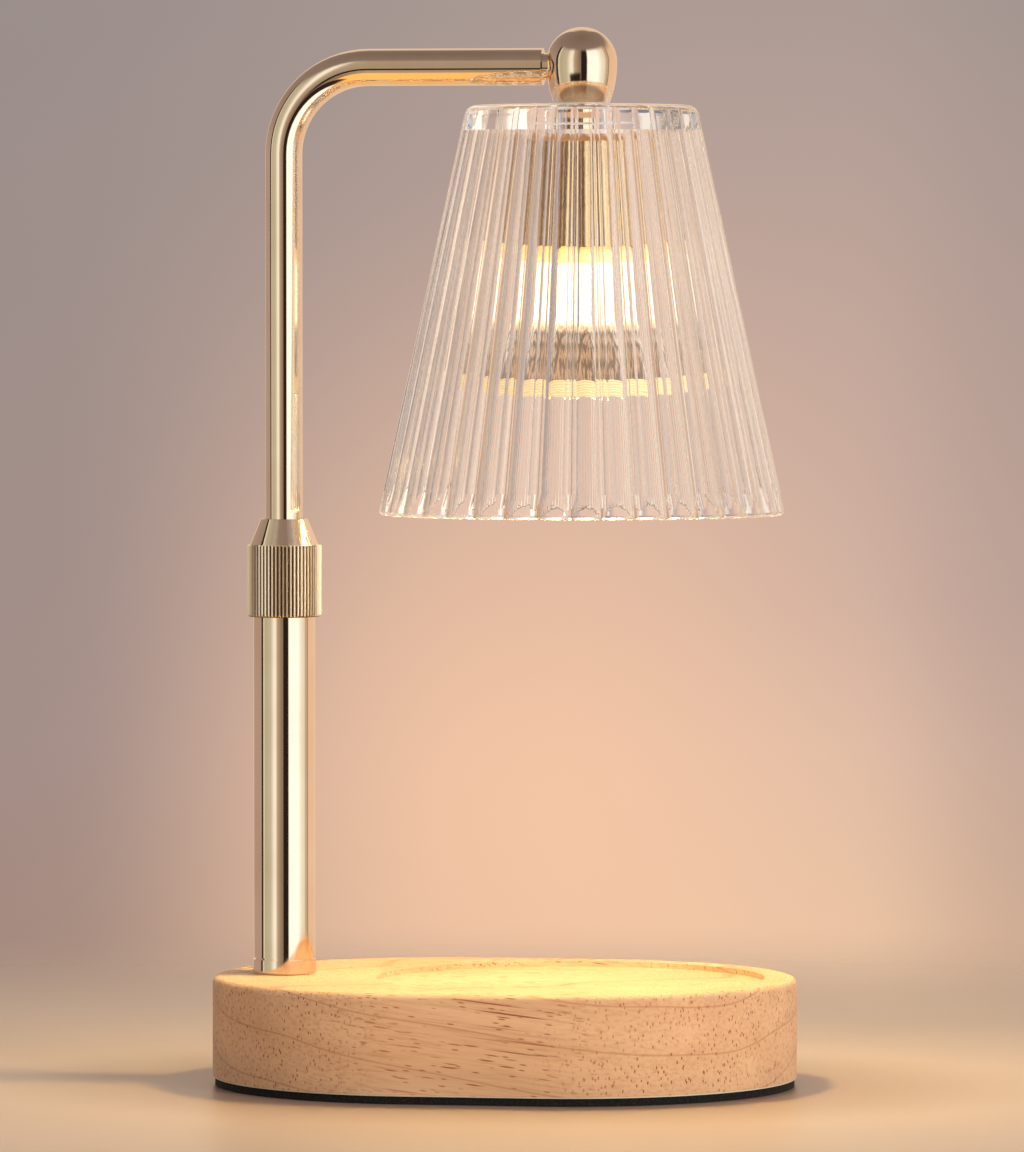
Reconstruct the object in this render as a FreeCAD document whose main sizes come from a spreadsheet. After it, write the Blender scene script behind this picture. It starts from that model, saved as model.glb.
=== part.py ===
"""Candle warmer lamp: fluted glass shade on a sliding, swinging arm over an oval wooden base.

Millimetres, +Z up, origin at the middle of the underside. The pole stands towards -X and the
candle recess lies towards +X. Each sub-part is a body of its own and is written to parts/.
"""
import FreeCAD, Part
import math
import os

import Sketcher

doc = FreeCAD.newDocument("candle_warmer_lamp")
sheet = doc.addObject("Spreadsheet::Sheet", "sizes")

DRIVING_SIZES = {
    # wooden base, its pad and the film that glues the pad on
    "base_length": 190.0,
    "base_depth": 147.0,
    "wood_height": 32.0,
    "wood_edge_round": 2.2,
    "pad_height": 2.6,
    "pad_inset": 0.8,
    "film_height": 0.4,
    "film_inset": 0.3,
    "recess_diameter": 126.0,
    "recess_depth": 1.8,
    "pole_setback": 22.5,
    # fixing under the pole: pocket, hollow stud, washer and nut
    "pocket_diameter": 26.0,
    "pocket_depth": 13.0,
    "stud_diameter": 10.0,
    "stud_bore": 7.0,
    "stud_overrun": 1.6,
    "washer_diameter": 22.0,
    "washer_thickness": 1.4,
    "nut_flats": 16.0,
    "nut_height": 5.0,
    # cord inlet at the back and the channel milled under the base
    "inlet_offset": 14.0,
    "inlet_rise": 7.5,
    "channel_width": 9.0,
    "channel_depth": 12.0,
    "grommet_diameter": 10.0,
    "grommet_length": 14.0,
    "grommet_bore": 6.5,
    "flange_diameter": 13.0,
    "flange_thickness": 1.2,
    # pole
    "pole_diameter": 20.0,
    "pole_wall": 1.0,
    "pole_length": 111.7,
    "foot_diameter": 20.6,
    "foot_height": 5.3,
    "foot_round": 0.8,
    "foot_groove": 0.5,
    "foot_spigot": 8.0,
    # threaded bush and collet at the top of the pole
    "bush_spigot": 14.0,
    "bush_shoulder": 1.2,
    "thread_diameter": 18.8,
    "thread_length": 11.8,
    "collet_diameter": 18.0,
    "collet_land": 1.5,
    "collet_length": 10.0,
    "collet_wall": 0.85,
    "collet_slit_count": 4,
    "collet_slit": 1.2,
    "collet_slit_depth": 7.0,
    # knurled lock collar
    "knurl_diameter": 24.2,
    "knurl_length": 23.4,
    "knurl_count": 60,
    "knurl_depth": 0.65,
    "knurl_share": 0.82,
    "knurl_round": 1.2,
    "collar_overlap": 0.8,
    "cone_height": 8.4,
    "cone_base_diameter": 22.2,
    "cone_top_diameter": 15.2,
    "cone_lip": 5.0,
    # arm
    "arm_diameter": 12.0,
    "arm_wall": 1.0,
    "arm_height": 329.4,
    "arm_bend": 28.0,
    "arm_reach": 97.75,
    "lift_travel": 20.0,
    "guide_length": 12.0,
    "stop_ring_diameter": 16.0,
    "stop_ring_height": 2.5,
    "end_ring_height": 2.0,
    # ball above the shade
    "ball_diameter": 22.8,
    "ball_rise": 1.3,
    "ball_taper_axis": 21.0,
    "ball_flat_drop": 13.0,
    "neck_diameter": 8.8,
    "neck_gap": 1.2,
    "neck_spigot": 9.0,
    "wire_bore": 5.6,
    # hollow nipple that hangs the shade and the socket cup
    "nipple_diameter": 10.0,
    "nipple_bore": 7.0,
    "nipple_grip": 7.8,
    "nipple_overrun": 1.0,
    "gasket_thickness": 0.8,
    "upper_gasket_diameter": 16.5,
    "lower_gasket_diameter": 22.0,
    "nipple_washer_diameter": 17.0,
    "nipple_washer_thickness": 1.0,
    "nipple_nut_flats": 14.0,
    "nipple_nut_height": 4.0,
    # fluted glass shade
    "shade_height": 132.1,
    "shade_top_diameter": 74.4,
    "shade_bottom_diameter": 131.4,
    "shade_top_thickness": 8.6,
    "shade_wall": 4.4,
    "shade_hole": 11.2,
    "shoulder_round": 4.0,
    "rim_round": 1.2,
    "flute_count": 36,
    "groove_width": 4.4,
    "groove_depth": 1.0,
    "groove_end": 3.0,
    "groove_fade": 5.0,
    "channel_bulge": 2.2,
    "channel_bulge_width": 9.6,
    # socket cup, bracket and lamp holder
    "cup_diameter": 29.0,
    "cup_wall": 0.8,
    "cup_height": 36.3,
    "cup_round": 2.5,
    "bracket_width": 13.0,
    "bracket_span": 20.0,
    "bracket_gauge": 1.0,
    "bracket_foot": 5.5,
    "holder_diameter": 24.0,
    "holder_height": 14.0,
    "holder_set_back": 3.8,
    "slot_plate": 3.0,
    "head_room": 5.0,
    "head_room_inner": 4.0,
    "head_room_outer": 16.0,
    "screw_diameter": 3.0,
    "screw_length": 4.0,
    "screw_head_diameter": 4.4,
    "screw_head_height": 1.8,
    "contact_width": 4.0,
    "contact_gauge": 0.6,
    "contact_stem": 1.8,
    # twist-lock reflector bulb
    "pin_spacing": 10.0,
    "pin_diameter": 3.0,
    "pin_head_diameter": 5.0,
    "pin_head_height": 3.4,
    "twist_angle": 18.0,
    "cap_diameter": 20.0,
    "cap_flats": 16.0,
    "cap_height": 8.5,
    "cap_boss": 6.0,
    "cap_skirt": 3.5,
    "bulb_diameter": 50.0,
    "bulb_length": 51.3,
    "bulb_neck_diameter": 24.0,
    "bulb_neck_length": 18.0,
    "bulb_wall": 1.3,
    "bulb_curve": 34.0,
    "lens_rim_height": 5.3,
    "lens_rim_wall": 1.6,
    "lens_thickness": 2.0,
    "capsule_diameter": 9.0,
    "capsule_length": 24.0,
    "capsule_wall": 0.8,
    "capsule_stem": 5.0,
    "capsule_stem_length": 3.0,
    "filament_diameter": 1.8,
    "filament_length": 7.0,
    "filament_lead": 0.6,
    # clearances
    "thread_gap": 0.05,
    "running_gap": 0.05,
    "free_gap": 0.3,
    "hole_gap": 0.3,
    "end_gap": 0.5,
    "cut_overrun": 1.0,
}

for row, (alias, number) in enumerate(DRIVING_SIZES.items(), start=1):
    sheet.set(f"A{row}", alias.replace("_", " "))
    sheet.set(f"B{row}", str(number))
    sheet.setAlias(f"B{row}", alias)
doc.recompute()


class Size:
    """A number together with the spreadsheet expression that gives it."""

    def __init__(self, value, text):
        self.value = float(value)
        self.text = text

    @staticmethod
    def of(other):
        """Give other as a Size, whether it is one or a plain number."""
        return other if isinstance(other, Size) else Size(other, repr(float(other)))

    def __add__(self, other):
        other = Size.of(other)
        return Size(self.value + other.value, f"({self.text} + {other.text})")

    def __sub__(self, other):
        other = Size.of(other)
        return Size(self.value - other.value, f"({self.text} - {other.text})")

    def __mul__(self, other):
        other = Size.of(other)
        return Size(self.value * other.value, f"({self.text} * {other.text})")

    def __truediv__(self, other):
        other = Size.of(other)
        return Size(self.value / other.value, f"({self.text} / {other.text})")

    def __rsub__(self, other):
        return Size.of(other) - self

    def __rmul__(self, other):
        return Size.of(other) * self

    def __neg__(self):
        return Size(-self.value, f"(0 - {self.text})")

    def root(self):
        """Give the square root."""
        return Size(math.sqrt(self.value), f"sqrt({self.text})")

    def turned(self, function):
        """Give the cosine or sine of this angle in degrees."""
        value = getattr(math, function)(math.radians(self.value))
        return Size(value, f"{function}({self.text} * 1 deg)")


def size(alias):
    """Give the driving size of that name."""
    return Size(sheet.get(alias), f"{sheet.Name}.{alias}")


ZERO = Size(0, "0")


def new_body(label, x=ZERO, z=ZERO):
    """Make an empty body whose own origin lies at x, 0, z."""
    body = doc.addObject("PartDesign::Body", label)
    body.Label = label
    body.setExpression("Placement.Base.x", x.text)
    body.setExpression("Placement.Base.z", z.text)
    return body


def origin_feature(body, role):
    """Give one of the planes or axes of the body's origin."""
    return next(item for item in body.Origin.OriginFeatures if item.Role == role)


def new_sketch(body, plane, offset=ZERO):
    """Attach a sketch to a plane of the body's origin, moved along its normal by offset."""
    sketch = body.newObject("Sketcher::SketchObject", f"{body.Name}_sketch")
    sketch.AttachmentSupport = [(origin_feature(body, plane), "")]
    sketch.MapMode = "FlatFace"
    sketch.setExpression("AttachmentOffset.Base.z", offset.text)
    return sketch


def dimension(sketch, kind, geometry, vertex, length, name):
    """Hold one coordinate of a sketch point at a length from the sketch's origin."""
    axis = {"DistanceX": -2, "DistanceY": -1}[kind]
    if length.text == "0":
        sketch.addConstraint(Sketcher.Constraint("PointOnObject", geometry, vertex, axis))
        return
    ends = (-1, 1, geometry, vertex) if length.value > 0 else (geometry, vertex, -1, 1)
    forward = length if length.value > 0 else -length
    index = sketch.addConstraint(Sketcher.Constraint(kind, *ends, forward.value))
    sketch.renameConstraint(index, name)
    sketch.setExpression(f"Constraints.{name}", forward.text)


def outline(sketch, points):
    """Draw a closed outline; a point with a third value is reached by an arc of that radius.

    A positive radius puts the arc's centre on the left of the direction of travel.
    """
    places = [FreeCAD.Vector(point[0].value, point[1].value, 0) for point in points]
    first = sketch.GeometryCount
    count = len(points)
    ends = []
    for index, point in enumerate(points):
        start, end = places[index - 1], places[index]
        ends.append((2, 1))
        if len(point) == 2:
            sketch.addGeometry(Part.LineSegment(start, end), False)
            continue
        radius = point[2].value
        chord = end - start
        left = FreeCAD.Vector(-chord.y, chord.x, 0).normalize()
        reach = math.sqrt(radius**2 - (chord.Length / 2) ** 2)
        side = math.copysign(1, radius)
        middle = (start + end) / 2 + left * (reach * side - radius)
        if side > 0:
            sketch.addGeometry(Part.Arc(start, middle, end), False)
        else:
            sketch.addGeometry(Part.Arc(end, middle, start), False)
            ends[index] = (1, 2)
    for index, point in enumerate(points):
        after = (index + 1) % count
        here, there = first + index, first + after
        joint = Sketcher.Constraint("Coincident", here, ends[index][0], there, ends[after][1])
        sketch.addConstraint(joint)
        dimension(sketch, "DistanceX", here, ends[index][0], point[0], f"across{here}")
        dimension(sketch, "DistanceY", here, ends[index][0], point[1], f"up{here}")
        if len(point) == 3:
            radius = point[2] if point[2].value > 0 else -point[2]
            number = sketch.addConstraint(Sketcher.Constraint("Radius", here, radius.value))
            sketch.renameConstraint(number, f"bend{here}")
            sketch.setExpression(f"Constraints.bend{here}", radius.text)
    return sketch


def rectangle(sketch, left, right, low, high):
    """Draw a rectangle by its four limits."""
    return outline(sketch, [(left, low), (right, low), (right, high), (left, high)])


def circle(sketch, x, y, diameter):
    """Draw a circle by its centre and diameter."""
    place = FreeCAD.Vector(x.value, y.value, 0)
    number = sketch.addGeometry(
        Part.Circle(place, FreeCAD.Vector(0, 0, 1), diameter.value / 2), False)
    dimension(sketch, "DistanceX", number, 3, x, f"across{number}")
    dimension(sketch, "DistanceY", number, 3, y, f"up{number}")
    index = sketch.addConstraint(Sketcher.Constraint("Diameter", number, diameter.value))
    sketch.renameConstraint(index, f"wide{number}")
    sketch.setExpression(f"Constraints.wide{number}", diameter.text)
    return sketch


def stadium(sketch, length, depth):
    """Draw two half circles joined by straight sides, centred on the sketch's origin."""
    radius = depth / 2
    straight = (length - depth) / 2
    middle = FreeCAD.Vector(straight.value, 0, 0)
    low, high = FreeCAD.Vector(0, -radius.value, 0), FreeCAD.Vector(0, radius.value, 0)
    round_right = Part.Arc(middle + low, middle + FreeCAD.Vector(radius.value, 0, 0),
                           middle + high)
    round_left = Part.Arc(high - middle, FreeCAD.Vector(-radius.value, 0, 0) - middle,
                          low - middle)
    back = Part.LineSegment(middle + high, high - middle)
    front = Part.LineSegment(low - middle, middle + low)
    sketch.addGeometry([round_right, back, round_left, front], False)
    for here, there in ((0, 1), (1, 2), (2, 3), (3, 0)):
        sketch.addConstraint(Sketcher.Constraint("Tangent", here, 2, there, 1))
    sketch.addConstraint(Sketcher.Constraint("Equal", 0, 2))
    sketch.addConstraint(Sketcher.Constraint("Symmetric", 0, 3, 2, 3, -1, 1))
    dimension(sketch, "DistanceX", 0, 3, straight, "straight")
    dimension(sketch, "DistanceY", 0, 3, ZERO, "level")
    index = sketch.addConstraint(Sketcher.Constraint("Radius", 0, radius.value))
    sketch.renameConstraint(index, "round")
    sketch.setExpression("Constraints.round", radius.text)
    return sketch


def add_feature(body, kind, profile=None, **settings):
    """Add a PartDesign feature; a Size in settings is bound to its expression."""
    feature = body.newObject(f"PartDesign::{kind}", f"{body.Name}_{kind.lower()}")
    if profile is not None:
        feature.Profile = profile
    for name, value in settings.items():
        if isinstance(value, Size):
            feature.setExpression(name, value.text)
        else:
            setattr(feature, name, value)
    body.Tip = feature
    return feature


def extrude(body, kind, sketch, length, **settings):
    """Add a Pad or a Pocket of a sketch."""
    return add_feature(body, kind, sketch, Length=length, **settings)


def turn(body, points, kind="Revolution", **settings):
    """Turn a closed outline of (radius, height) points about the body's Z axis."""
    sketch = outline(new_sketch(body, "XZ_Plane"), points)
    settings.setdefault("Angle", 360)
    return add_feature(body, kind, sketch, ReferenceAxis=(sketch, ["V_Axis"]), **settings)


def repeat(body, features, count):
    """Repeat features evenly about the body's Z axis."""
    return add_feature(body, "PolarPattern", Originals=features, Angle=360,
                       Axis=(origin_feature(body, "Z_Axis"), [""]), Occurrences=count)


def level_edges(feature, height, radius=None):
    """Name the edges that lie level at a height, and at a radius if one is given."""
    doc.recompute()
    names = []
    for number, edge in enumerate(feature.Shape.Edges, start=1):
        box = edge.BoundBox
        if abs(box.ZMin - height.value) > 1e-4 or abs(box.ZMax - height.value) > 1e-4:
            continue
        if radius is None or abs(box.XMax - radius.value) < 1e-3:
            names.append(f"Edge{number}")
    return names


def round_edges(body, feature, names, radius):
    """Round the named edges of a feature."""
    return add_feature(body, "Fillet", Base=(feature, names), Radius=radius)


def ring(label, outer, inner, height, x, z):
    """Make a plain ring or washer by its diameters and height."""
    body = new_body(label, x, z)
    turn(body, [(inner / 2, ZERO), (outer / 2, ZERO), (outer / 2, height),
                (inner / 2, height)])
    return body


def hex_nut(label, flats, bore, height, x, z):
    """Make a hexagon nut by its width across flats."""
    body = new_body(label, x, z)
    sketch = new_sketch(body, "XY_Plane")
    corner = flats / math.sqrt(3)
    half = corner / 2
    outline(sketch, [(corner, ZERO), (half, flats / 2), (-half, flats / 2),
                     (-corner, ZERO), (-half, -(flats / 2)), (half, -(flats / 2))])
    circle(sketch, ZERO, ZERO, bore)
    extrude(body, "Pad", sketch, height)
    return body


# ---- heights and places worked out from the driving sizes ----
pole_x = size("pole_setback") - size("base_length") / 2
head_x = pole_x + size("arm_reach")
recess_x = (size("base_length") - size("base_depth")) / 2

wood_bottom = size("pad_height") + size("film_height")
wood_top = wood_bottom + size("wood_height")
pole_bottom = wood_top + size("foot_height")
pole_top = pole_bottom + size("pole_length")
pole_bore = size("pole_diameter") - size("pole_wall") * 2
collar_bottom = pole_top - size("collar_overlap")
thread_bottom = pole_top + size("bush_shoulder")
thread_top = thread_bottom + size("thread_length")

stop_ring_z = (pole_top - size("bush_spigot") - size("lift_travel") - size("end_gap")
               - size("stop_ring_height"))
guide_z = stop_ring_z - size("free_gap") - size("guide_length")
arm_bottom = guide_z - size("free_gap") - size("end_ring_height")

ball_z = size("arm_height") + size("ball_rise")
ball_flat_z = ball_z - size("ball_flat_drop")
shade_top_z = ball_flat_z - size("gasket_thickness")
shade_bottom_z = shade_top_z - size("shade_height")
ceiling_z = shade_top_z - size("shade_top_thickness")
cup_top_z = ceiling_z - size("gasket_thickness")
cup_bottom_z = cup_top_z - size("cup_height")
bracket_top_z = cup_top_z - size("cup_wall")
nipple_washer_z = (bracket_top_z - size("bracket_gauge")
                   - size("nipple_washer_thickness"))
nipple_nut_z = nipple_washer_z - size("nipple_nut_height")
nipple_bottom_z = nipple_nut_z - size("nipple_overrun")
holder_z = cup_bottom_z + size("holder_set_back")
holder_top_z = holder_z + size("holder_height")
pin_head_z = holder_z + size("slot_plate") + size("free_gap")
cap_top_z = holder_z - size("end_gap")
screw_y = (size("bracket_span") - size("bracket_foot") - size("bracket_gauge")) / 2
bulb_bottom_z = cap_top_z - size("bulb_length")


def wooden_base():
    """Oval board with the candle recess, the fixing pocket and the cord channel."""
    body = new_body("wooden_base", z=wood_bottom)
    board = extrude(body, "Pad", stadium(new_sketch(body, "XY_Plane"), size("base_length"),
                                         size("base_depth")), size("wood_height"))
    round_edges(body, board, level_edges(board, size("wood_height")),
                size("wood_edge_round"))
    recess = new_sketch(body, "XY_Plane", size("wood_height"))
    extrude(body, "Pocket", circle(recess, recess_x, ZERO, size("recess_diameter")),
            size("recess_depth"))
    stud_hole = circle(new_sketch(body, "XY_Plane"), pole_x, ZERO,
                       size("stud_diameter") + size("hole_gap") * 2)
    extrude(body, "Pocket", stud_hole, size("wood_height"), Reversed=True)
    pocket = circle(new_sketch(body, "XY_Plane"), pole_x, ZERO, size("pocket_diameter"))
    extrude(body, "Pocket", pocket, size("pocket_depth"), Reversed=True)
    back = size("base_depth") / 2
    bore_depth = size("grommet_length") + size("channel_width")
    inlet_x = -size("inlet_offset")
    run_x = inlet_x - pole_x
    run_y = back - bore_depth + size("channel_width") / 2
    run = (run_x * run_x + run_y * run_y).root()
    aside_x = run_y / run * size("channel_width") / 2
    aside_y = run_x / run * size("channel_width") / 2
    channel = outline(new_sketch(body, "XY_Plane"), [
        (pole_x + aside_x, -aside_y), (inlet_x + aside_x, run_y - aside_y),
        (inlet_x - aside_x, run_y + aside_y), (pole_x - aside_x, aside_y)])
    extrude(body, "Pocket", channel, size("channel_depth"), Reversed=True)
    end_round = circle(new_sketch(body, "XY_Plane"), inlet_x, run_y, size("channel_width"))
    extrude(body, "Pocket", end_round, size("channel_depth"), Reversed=True)
    bore = circle(new_sketch(body, "XZ_Plane", -back), inlet_x, size("inlet_rise"),
                  size("grommet_diameter"))
    extrude(body, "Pocket", bore, bore_depth, Reversed=True)
    seat = circle(new_sketch(body, "XZ_Plane", -back), inlet_x, size("inlet_rise"),
                  size("flange_diameter") + size("thread_gap") * 2)
    extrude(body, "Pocket", seat, size("flange_thickness"), Reversed=True)
    return body


def flat_sheet(label, inset, height, z):
    """Thin sheet under the board, cut back from the board's edge."""
    body = new_body(label, z=z)
    outer = stadium(new_sketch(body, "XY_Plane"), size("base_length") - inset * 2,
                    size("base_depth") - inset * 2)
    extrude(body, "Pad", outer, height)
    return body


def cord_grommet():
    """Flanged bush of the cord inlet, lying along Y and flush with the back of the board."""
    body = new_body("cord_grommet", -size("inlet_offset"), wood_bottom + size("inlet_rise"))
    back = size("base_depth") / 2
    flange = circle(new_sketch(body, "XZ_Plane", -back), ZERO, ZERO, size("flange_diameter"))
    extrude(body, "Pad", flange, size("flange_thickness"))
    sleeve = circle(new_sketch(body, "XZ_Plane", -back), ZERO, ZERO,
                    size("grommet_diameter") - size("thread_gap") * 2)
    extrude(body, "Pad", sleeve, size("grommet_length"))
    bore = circle(new_sketch(body, "XZ_Plane", -back), ZERO, ZERO, size("grommet_bore"))
    extrude(body, "Pocket", bore, size("grommet_length"), Reversed=True)
    return body


def foot_ring():
    """Ring at the foot of the pole with a spigot that centres the tube on the stud."""
    body = new_body("foot_ring", pole_x, wood_top)
    bore = size("stud_diameter") / 2 + size("thread_gap")
    spigot = pole_bore / 2 - size("thread_gap")
    flange = size("foot_diameter") / 2
    waist = size("pole_diameter") / 2 - size("foot_groove")
    step = size("foot_height") - size("foot_groove")
    top = size("foot_height") + size("foot_spigot")
    turned = turn(body, [(bore, ZERO), (flange, ZERO), (flange, step), (waist, step),
                         (waist, size("foot_height")), (spigot, size("foot_height")),
                         (spigot, top), (bore, top)])
    round_edges(body, turned, level_edges(turned, ZERO, flange),
                size("foot_round"))
    return body


def thread_bush():
    """Brass bush in the top of the pole, with the thread that the lock collar runs on."""
    body = new_body("thread_bush", pole_x, pole_top - size("bush_spigot"))
    bore = size("arm_diameter") / 2 + size("free_gap")
    spigot = pole_bore / 2 - size("thread_gap")
    shoulder = size("pole_diameter") / 2
    thread = size("thread_diameter") / 2
    step = size("bush_spigot") + size("bush_shoulder")
    top = step + size("thread_length")
    turn(body, [(bore, ZERO), (spigot, ZERO), (spigot, size("bush_spigot")),
                (shoulder, size("bush_spigot")), (shoulder, step), (thread, step),
                (thread, top), (bore, top)])
    return body


def collet():
    """Slit nylon collet that the lock collar squeezes onto the arm."""
    body = new_body("collet", pole_x, thread_top)
    bore = size("arm_diameter") / 2 + size("running_gap")
    land = size("collet_land")
    top = size("collet_length")
    wide = size("collet_diameter") / 2
    turn(body, [(bore, ZERO), (wide, ZERO), (wide, land),
                (bore + size("collet_wall"), top), (bore, top)])
    slit = rectangle(new_sketch(body, "XY_Plane", top), ZERO, size("collet_diameter"),
                     -(size("collet_slit") / 2), size("collet_slit") / 2)
    cut = extrude(body, "Pocket", slit, size("collet_slit_depth"))
    repeat(body, [cut], size("collet_slit_count"))
    return body


def lock_collar():
    """Knurled collar with a conical nose that closes the collet."""
    body = new_body("lock_collar", pole_x, collar_bottom)
    skirt = size("pole_diameter") / 2 + size("free_gap")
    thread = size("thread_diameter") / 2 + size("free_gap")
    throat = size("arm_diameter") / 2 + size("free_gap") * 2
    knurl = size("knurl_diameter") / 2
    skirt_top = thread_bottom - collar_bottom + size("free_gap")
    thread_end = thread_top - collar_bottom + size("collet_land")
    top = size("knurl_length") + size("cone_height")
    turned = turn(body, [(skirt, ZERO), (knurl, ZERO), (knurl, size("knurl_length")),
                         (size("cone_base_diameter") / 2, size("knurl_length")),
                         (size("cone_top_diameter") / 2, top), (throat, top),
                         (throat, top - size("cone_lip")), (thread, thread_end),
                         (thread, skirt_top), (skirt, skirt_top)])
    round_edges(body, turned, level_edges(turned, ZERO, knurl), size("knurl_round"))
    half_width = knurl * math.pi / size("knurl_count") * size("knurl_share")
    deep = size("knurl_depth")
    vee = outline(new_sketch(body, "XY_Plane"), [
        (knurl - deep, ZERO), (knurl + deep, -(half_width * 2)),
        (knurl + deep, half_width * 2)])
    cut = extrude(body, "Pocket", vee, size("knurl_length"), Reversed=True)
    repeat(body, [cut], size("knurl_count"))
    return body


def arm_tube():
    """Thin tube that rises out of the pole and bends over to the ball."""
    body = new_body("arm_tube", pole_x, arm_bottom)
    rise = size("arm_height") - arm_bottom
    reach = size("arm_reach") - size("ball_diameter") / 2 - size("neck_gap")
    bend = size("arm_bend")
    path = new_sketch(body, "XZ_Plane")
    foot = FreeCAD.Vector(0, 0, 0)
    knee = FreeCAD.Vector(0, rise.value - bend.value, 0)
    elbow = FreeCAD.Vector(bend.value, rise.value, 0)
    middle = FreeCAD.Vector(bend.value * (1 - math.sqrt(0.5)),
                            rise.value - bend.value * (1 - math.sqrt(0.5)), 0)
    tip = FreeCAD.Vector(reach.value, rise.value, 0)
    path.addGeometry([Part.LineSegment(foot, knee), Part.Arc(elbow, middle, knee),
                      Part.LineSegment(elbow, tip)], False)
    path.addConstraint(Sketcher.Constraint("Coincident", 0, 1, -1, 1))
    path.addConstraint(Sketcher.Constraint("Vertical", 0))
    path.addConstraint(Sketcher.Constraint("Tangent", 0, 2, 1, 2))
    path.addConstraint(Sketcher.Constraint("Tangent", 1, 1, 2, 1))
    path.addConstraint(Sketcher.Constraint("Horizontal", 2))
    index = path.addConstraint(Sketcher.Constraint("Radius", 1, bend.value))
    path.renameConstraint(index, "bend")
    path.setExpression("Constraints.bend", bend.text)
    dimension(path, "DistanceX", 2, 2, reach, "reach")
    dimension(path, "DistanceY", 2, 2, rise, "rise")
    section = new_sketch(body, "XY_Plane")
    circle(section, ZERO, ZERO, size("arm_diameter"))
    circle(section, ZERO, ZERO, size("arm_diameter") - size("arm_wall") * 2)
    add_feature(body, "AdditivePipe", section, Spine=(path, ["Edge1", "Edge2", "Edge3"]))
    return body


def ball():
    """Ball that joins the arm to the shade, tapering to a flat underside."""
    body = new_body("ball", head_x, ball_z)
    radius = size("ball_diameter") / 2
    taper = size("ball_taper_axis")
    flat = size("ball_flat_drop")
    add_feature(body, "AdditiveSphere", Radius=radius, Angle1=0, Angle2=90, Angle3=360)
    add_feature(body, "AdditiveEllipsoid", Radius1=taper, Radius2=radius, Radius3=radius,
                Angle1=-90, Angle2=0, Angle3=360)
    beyond = size("cut_overrun")
    turn(body, [(ZERO, -taper - beyond), (radius + beyond, -taper - beyond),
                (radius + beyond, -flat), (ZERO, -flat)], kind="Groove")
    axis_drop = -size("ball_rise")
    tube_end = size("ball_diameter") / 2 + size("neck_gap")
    neck = circle(new_sketch(body, "YZ_Plane"), ZERO, axis_drop, size("neck_diameter"))
    extrude(body, "Pad", neck, tube_end, Reversed=True)
    spigot_size = size("arm_diameter") - size("arm_wall") * 2 - size("thread_gap") * 2
    spigot = circle(new_sketch(body, "YZ_Plane", -tube_end), ZERO, axis_drop, spigot_size)
    extrude(body, "Pad", spigot, size("neck_spigot"), Reversed=True)
    wire = circle(new_sketch(body, "YZ_Plane"), ZERO, axis_drop, size("wire_bore"))
    extrude(body, "Pocket", wire, tube_end + size("neck_spigot"))
    bore = size("nipple_diameter") / 2 + size("thread_gap")
    turn(body, [(ZERO, -flat), (bore, -flat),
                (bore, size("nipple_grip") - flat + size("end_gap")),
                (ZERO, size("nipple_grip") - flat + size("end_gap"))], kind="Groove")
    return body


def taper_line(low, high, height, z):
    """Follow a straight taper from low at height 0 to high at the given height."""
    return low + (high - low) * z / height


def glass_shade():
    """Pressed glass cone with narrow grooves outside and wide channels inside."""
    body = new_body("glass_shade", head_x, shade_bottom_z)
    height = size("shade_height")
    top_radius = size("shade_top_diameter") / 2
    bottom_radius = size("shade_bottom_diameter") / 2
    wall = size("shade_wall")
    ceiling = height - size("shade_top_thickness")
    hole = size("shade_hole") / 2

    def outer(z):
        return taper_line(bottom_radius, top_radius, height, z)

    turned = turn(body, [(bottom_radius - wall, ZERO), (bottom_radius, ZERO),
                         (top_radius, height), (hole, height), (hole, ceiling),
                         (outer(ceiling) - wall, ceiling)])
    shoulder = round_edges(body, turned, level_edges(turned, height, top_radius),
                           size("shoulder_round"))
    round_edges(body, shoulder, level_edges(shoulder, ZERO, bottom_radius),
                size("rim_round"))

    def channel_section(z):
        """Circle that bulges a channel out of the inner wall."""
        share = (outer(z) - wall) / (bottom_radius - wall)
        half = size("channel_bulge_width") * share / 2
        deep = size("channel_bulge") * share
        radius = (half * half + deep * deep) / (deep * 2)
        centre = outer(z) - wall + deep - radius
        return circle(new_sketch(body, "XY_Plane", z), centre, ZERO, radius * 2)

    channel = add_feature(body, "SubtractiveLoft", channel_section(-size("cut_overrun")),
                          Sections=[channel_section(ceiling)], Ruled=True)

    def groove_section(z, share, depth_share):
        """Circle that cuts the groove from outside."""
        half = size("groove_width") * share / 2
        deep = size("groove_depth") * share
        radius = (half * half + deep * deep) / (deep * 2)
        centre = outer(z) + radius - deep * depth_share
        return circle(new_sketch(body, "XY_Plane", z), centre, ZERO, radius * 2)

    end = size("groove_end")
    full = end + size("groove_fade")
    over = height + size("cut_overrun")
    fade = groove_section(end, outer(end) / bottom_radius, 0.0)
    deep_low = groove_section(full, outer(full) / bottom_radius, 1.0)
    deep_high = groove_section(over, outer(over) / bottom_radius, 1.0)
    groove = add_feature(body, "SubtractiveLoft", fade, Sections=[deep_low, deep_high],
                         Ruled=True)
    for sketch in (fade, deep_low, deep_high):
        sketch.setExpression("AttachmentOffset.Rotation.Angle",
                             f"180 deg / {size('flute_count').text}")
    repeat(body, [channel, groove], size("flute_count"))
    return body


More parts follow.
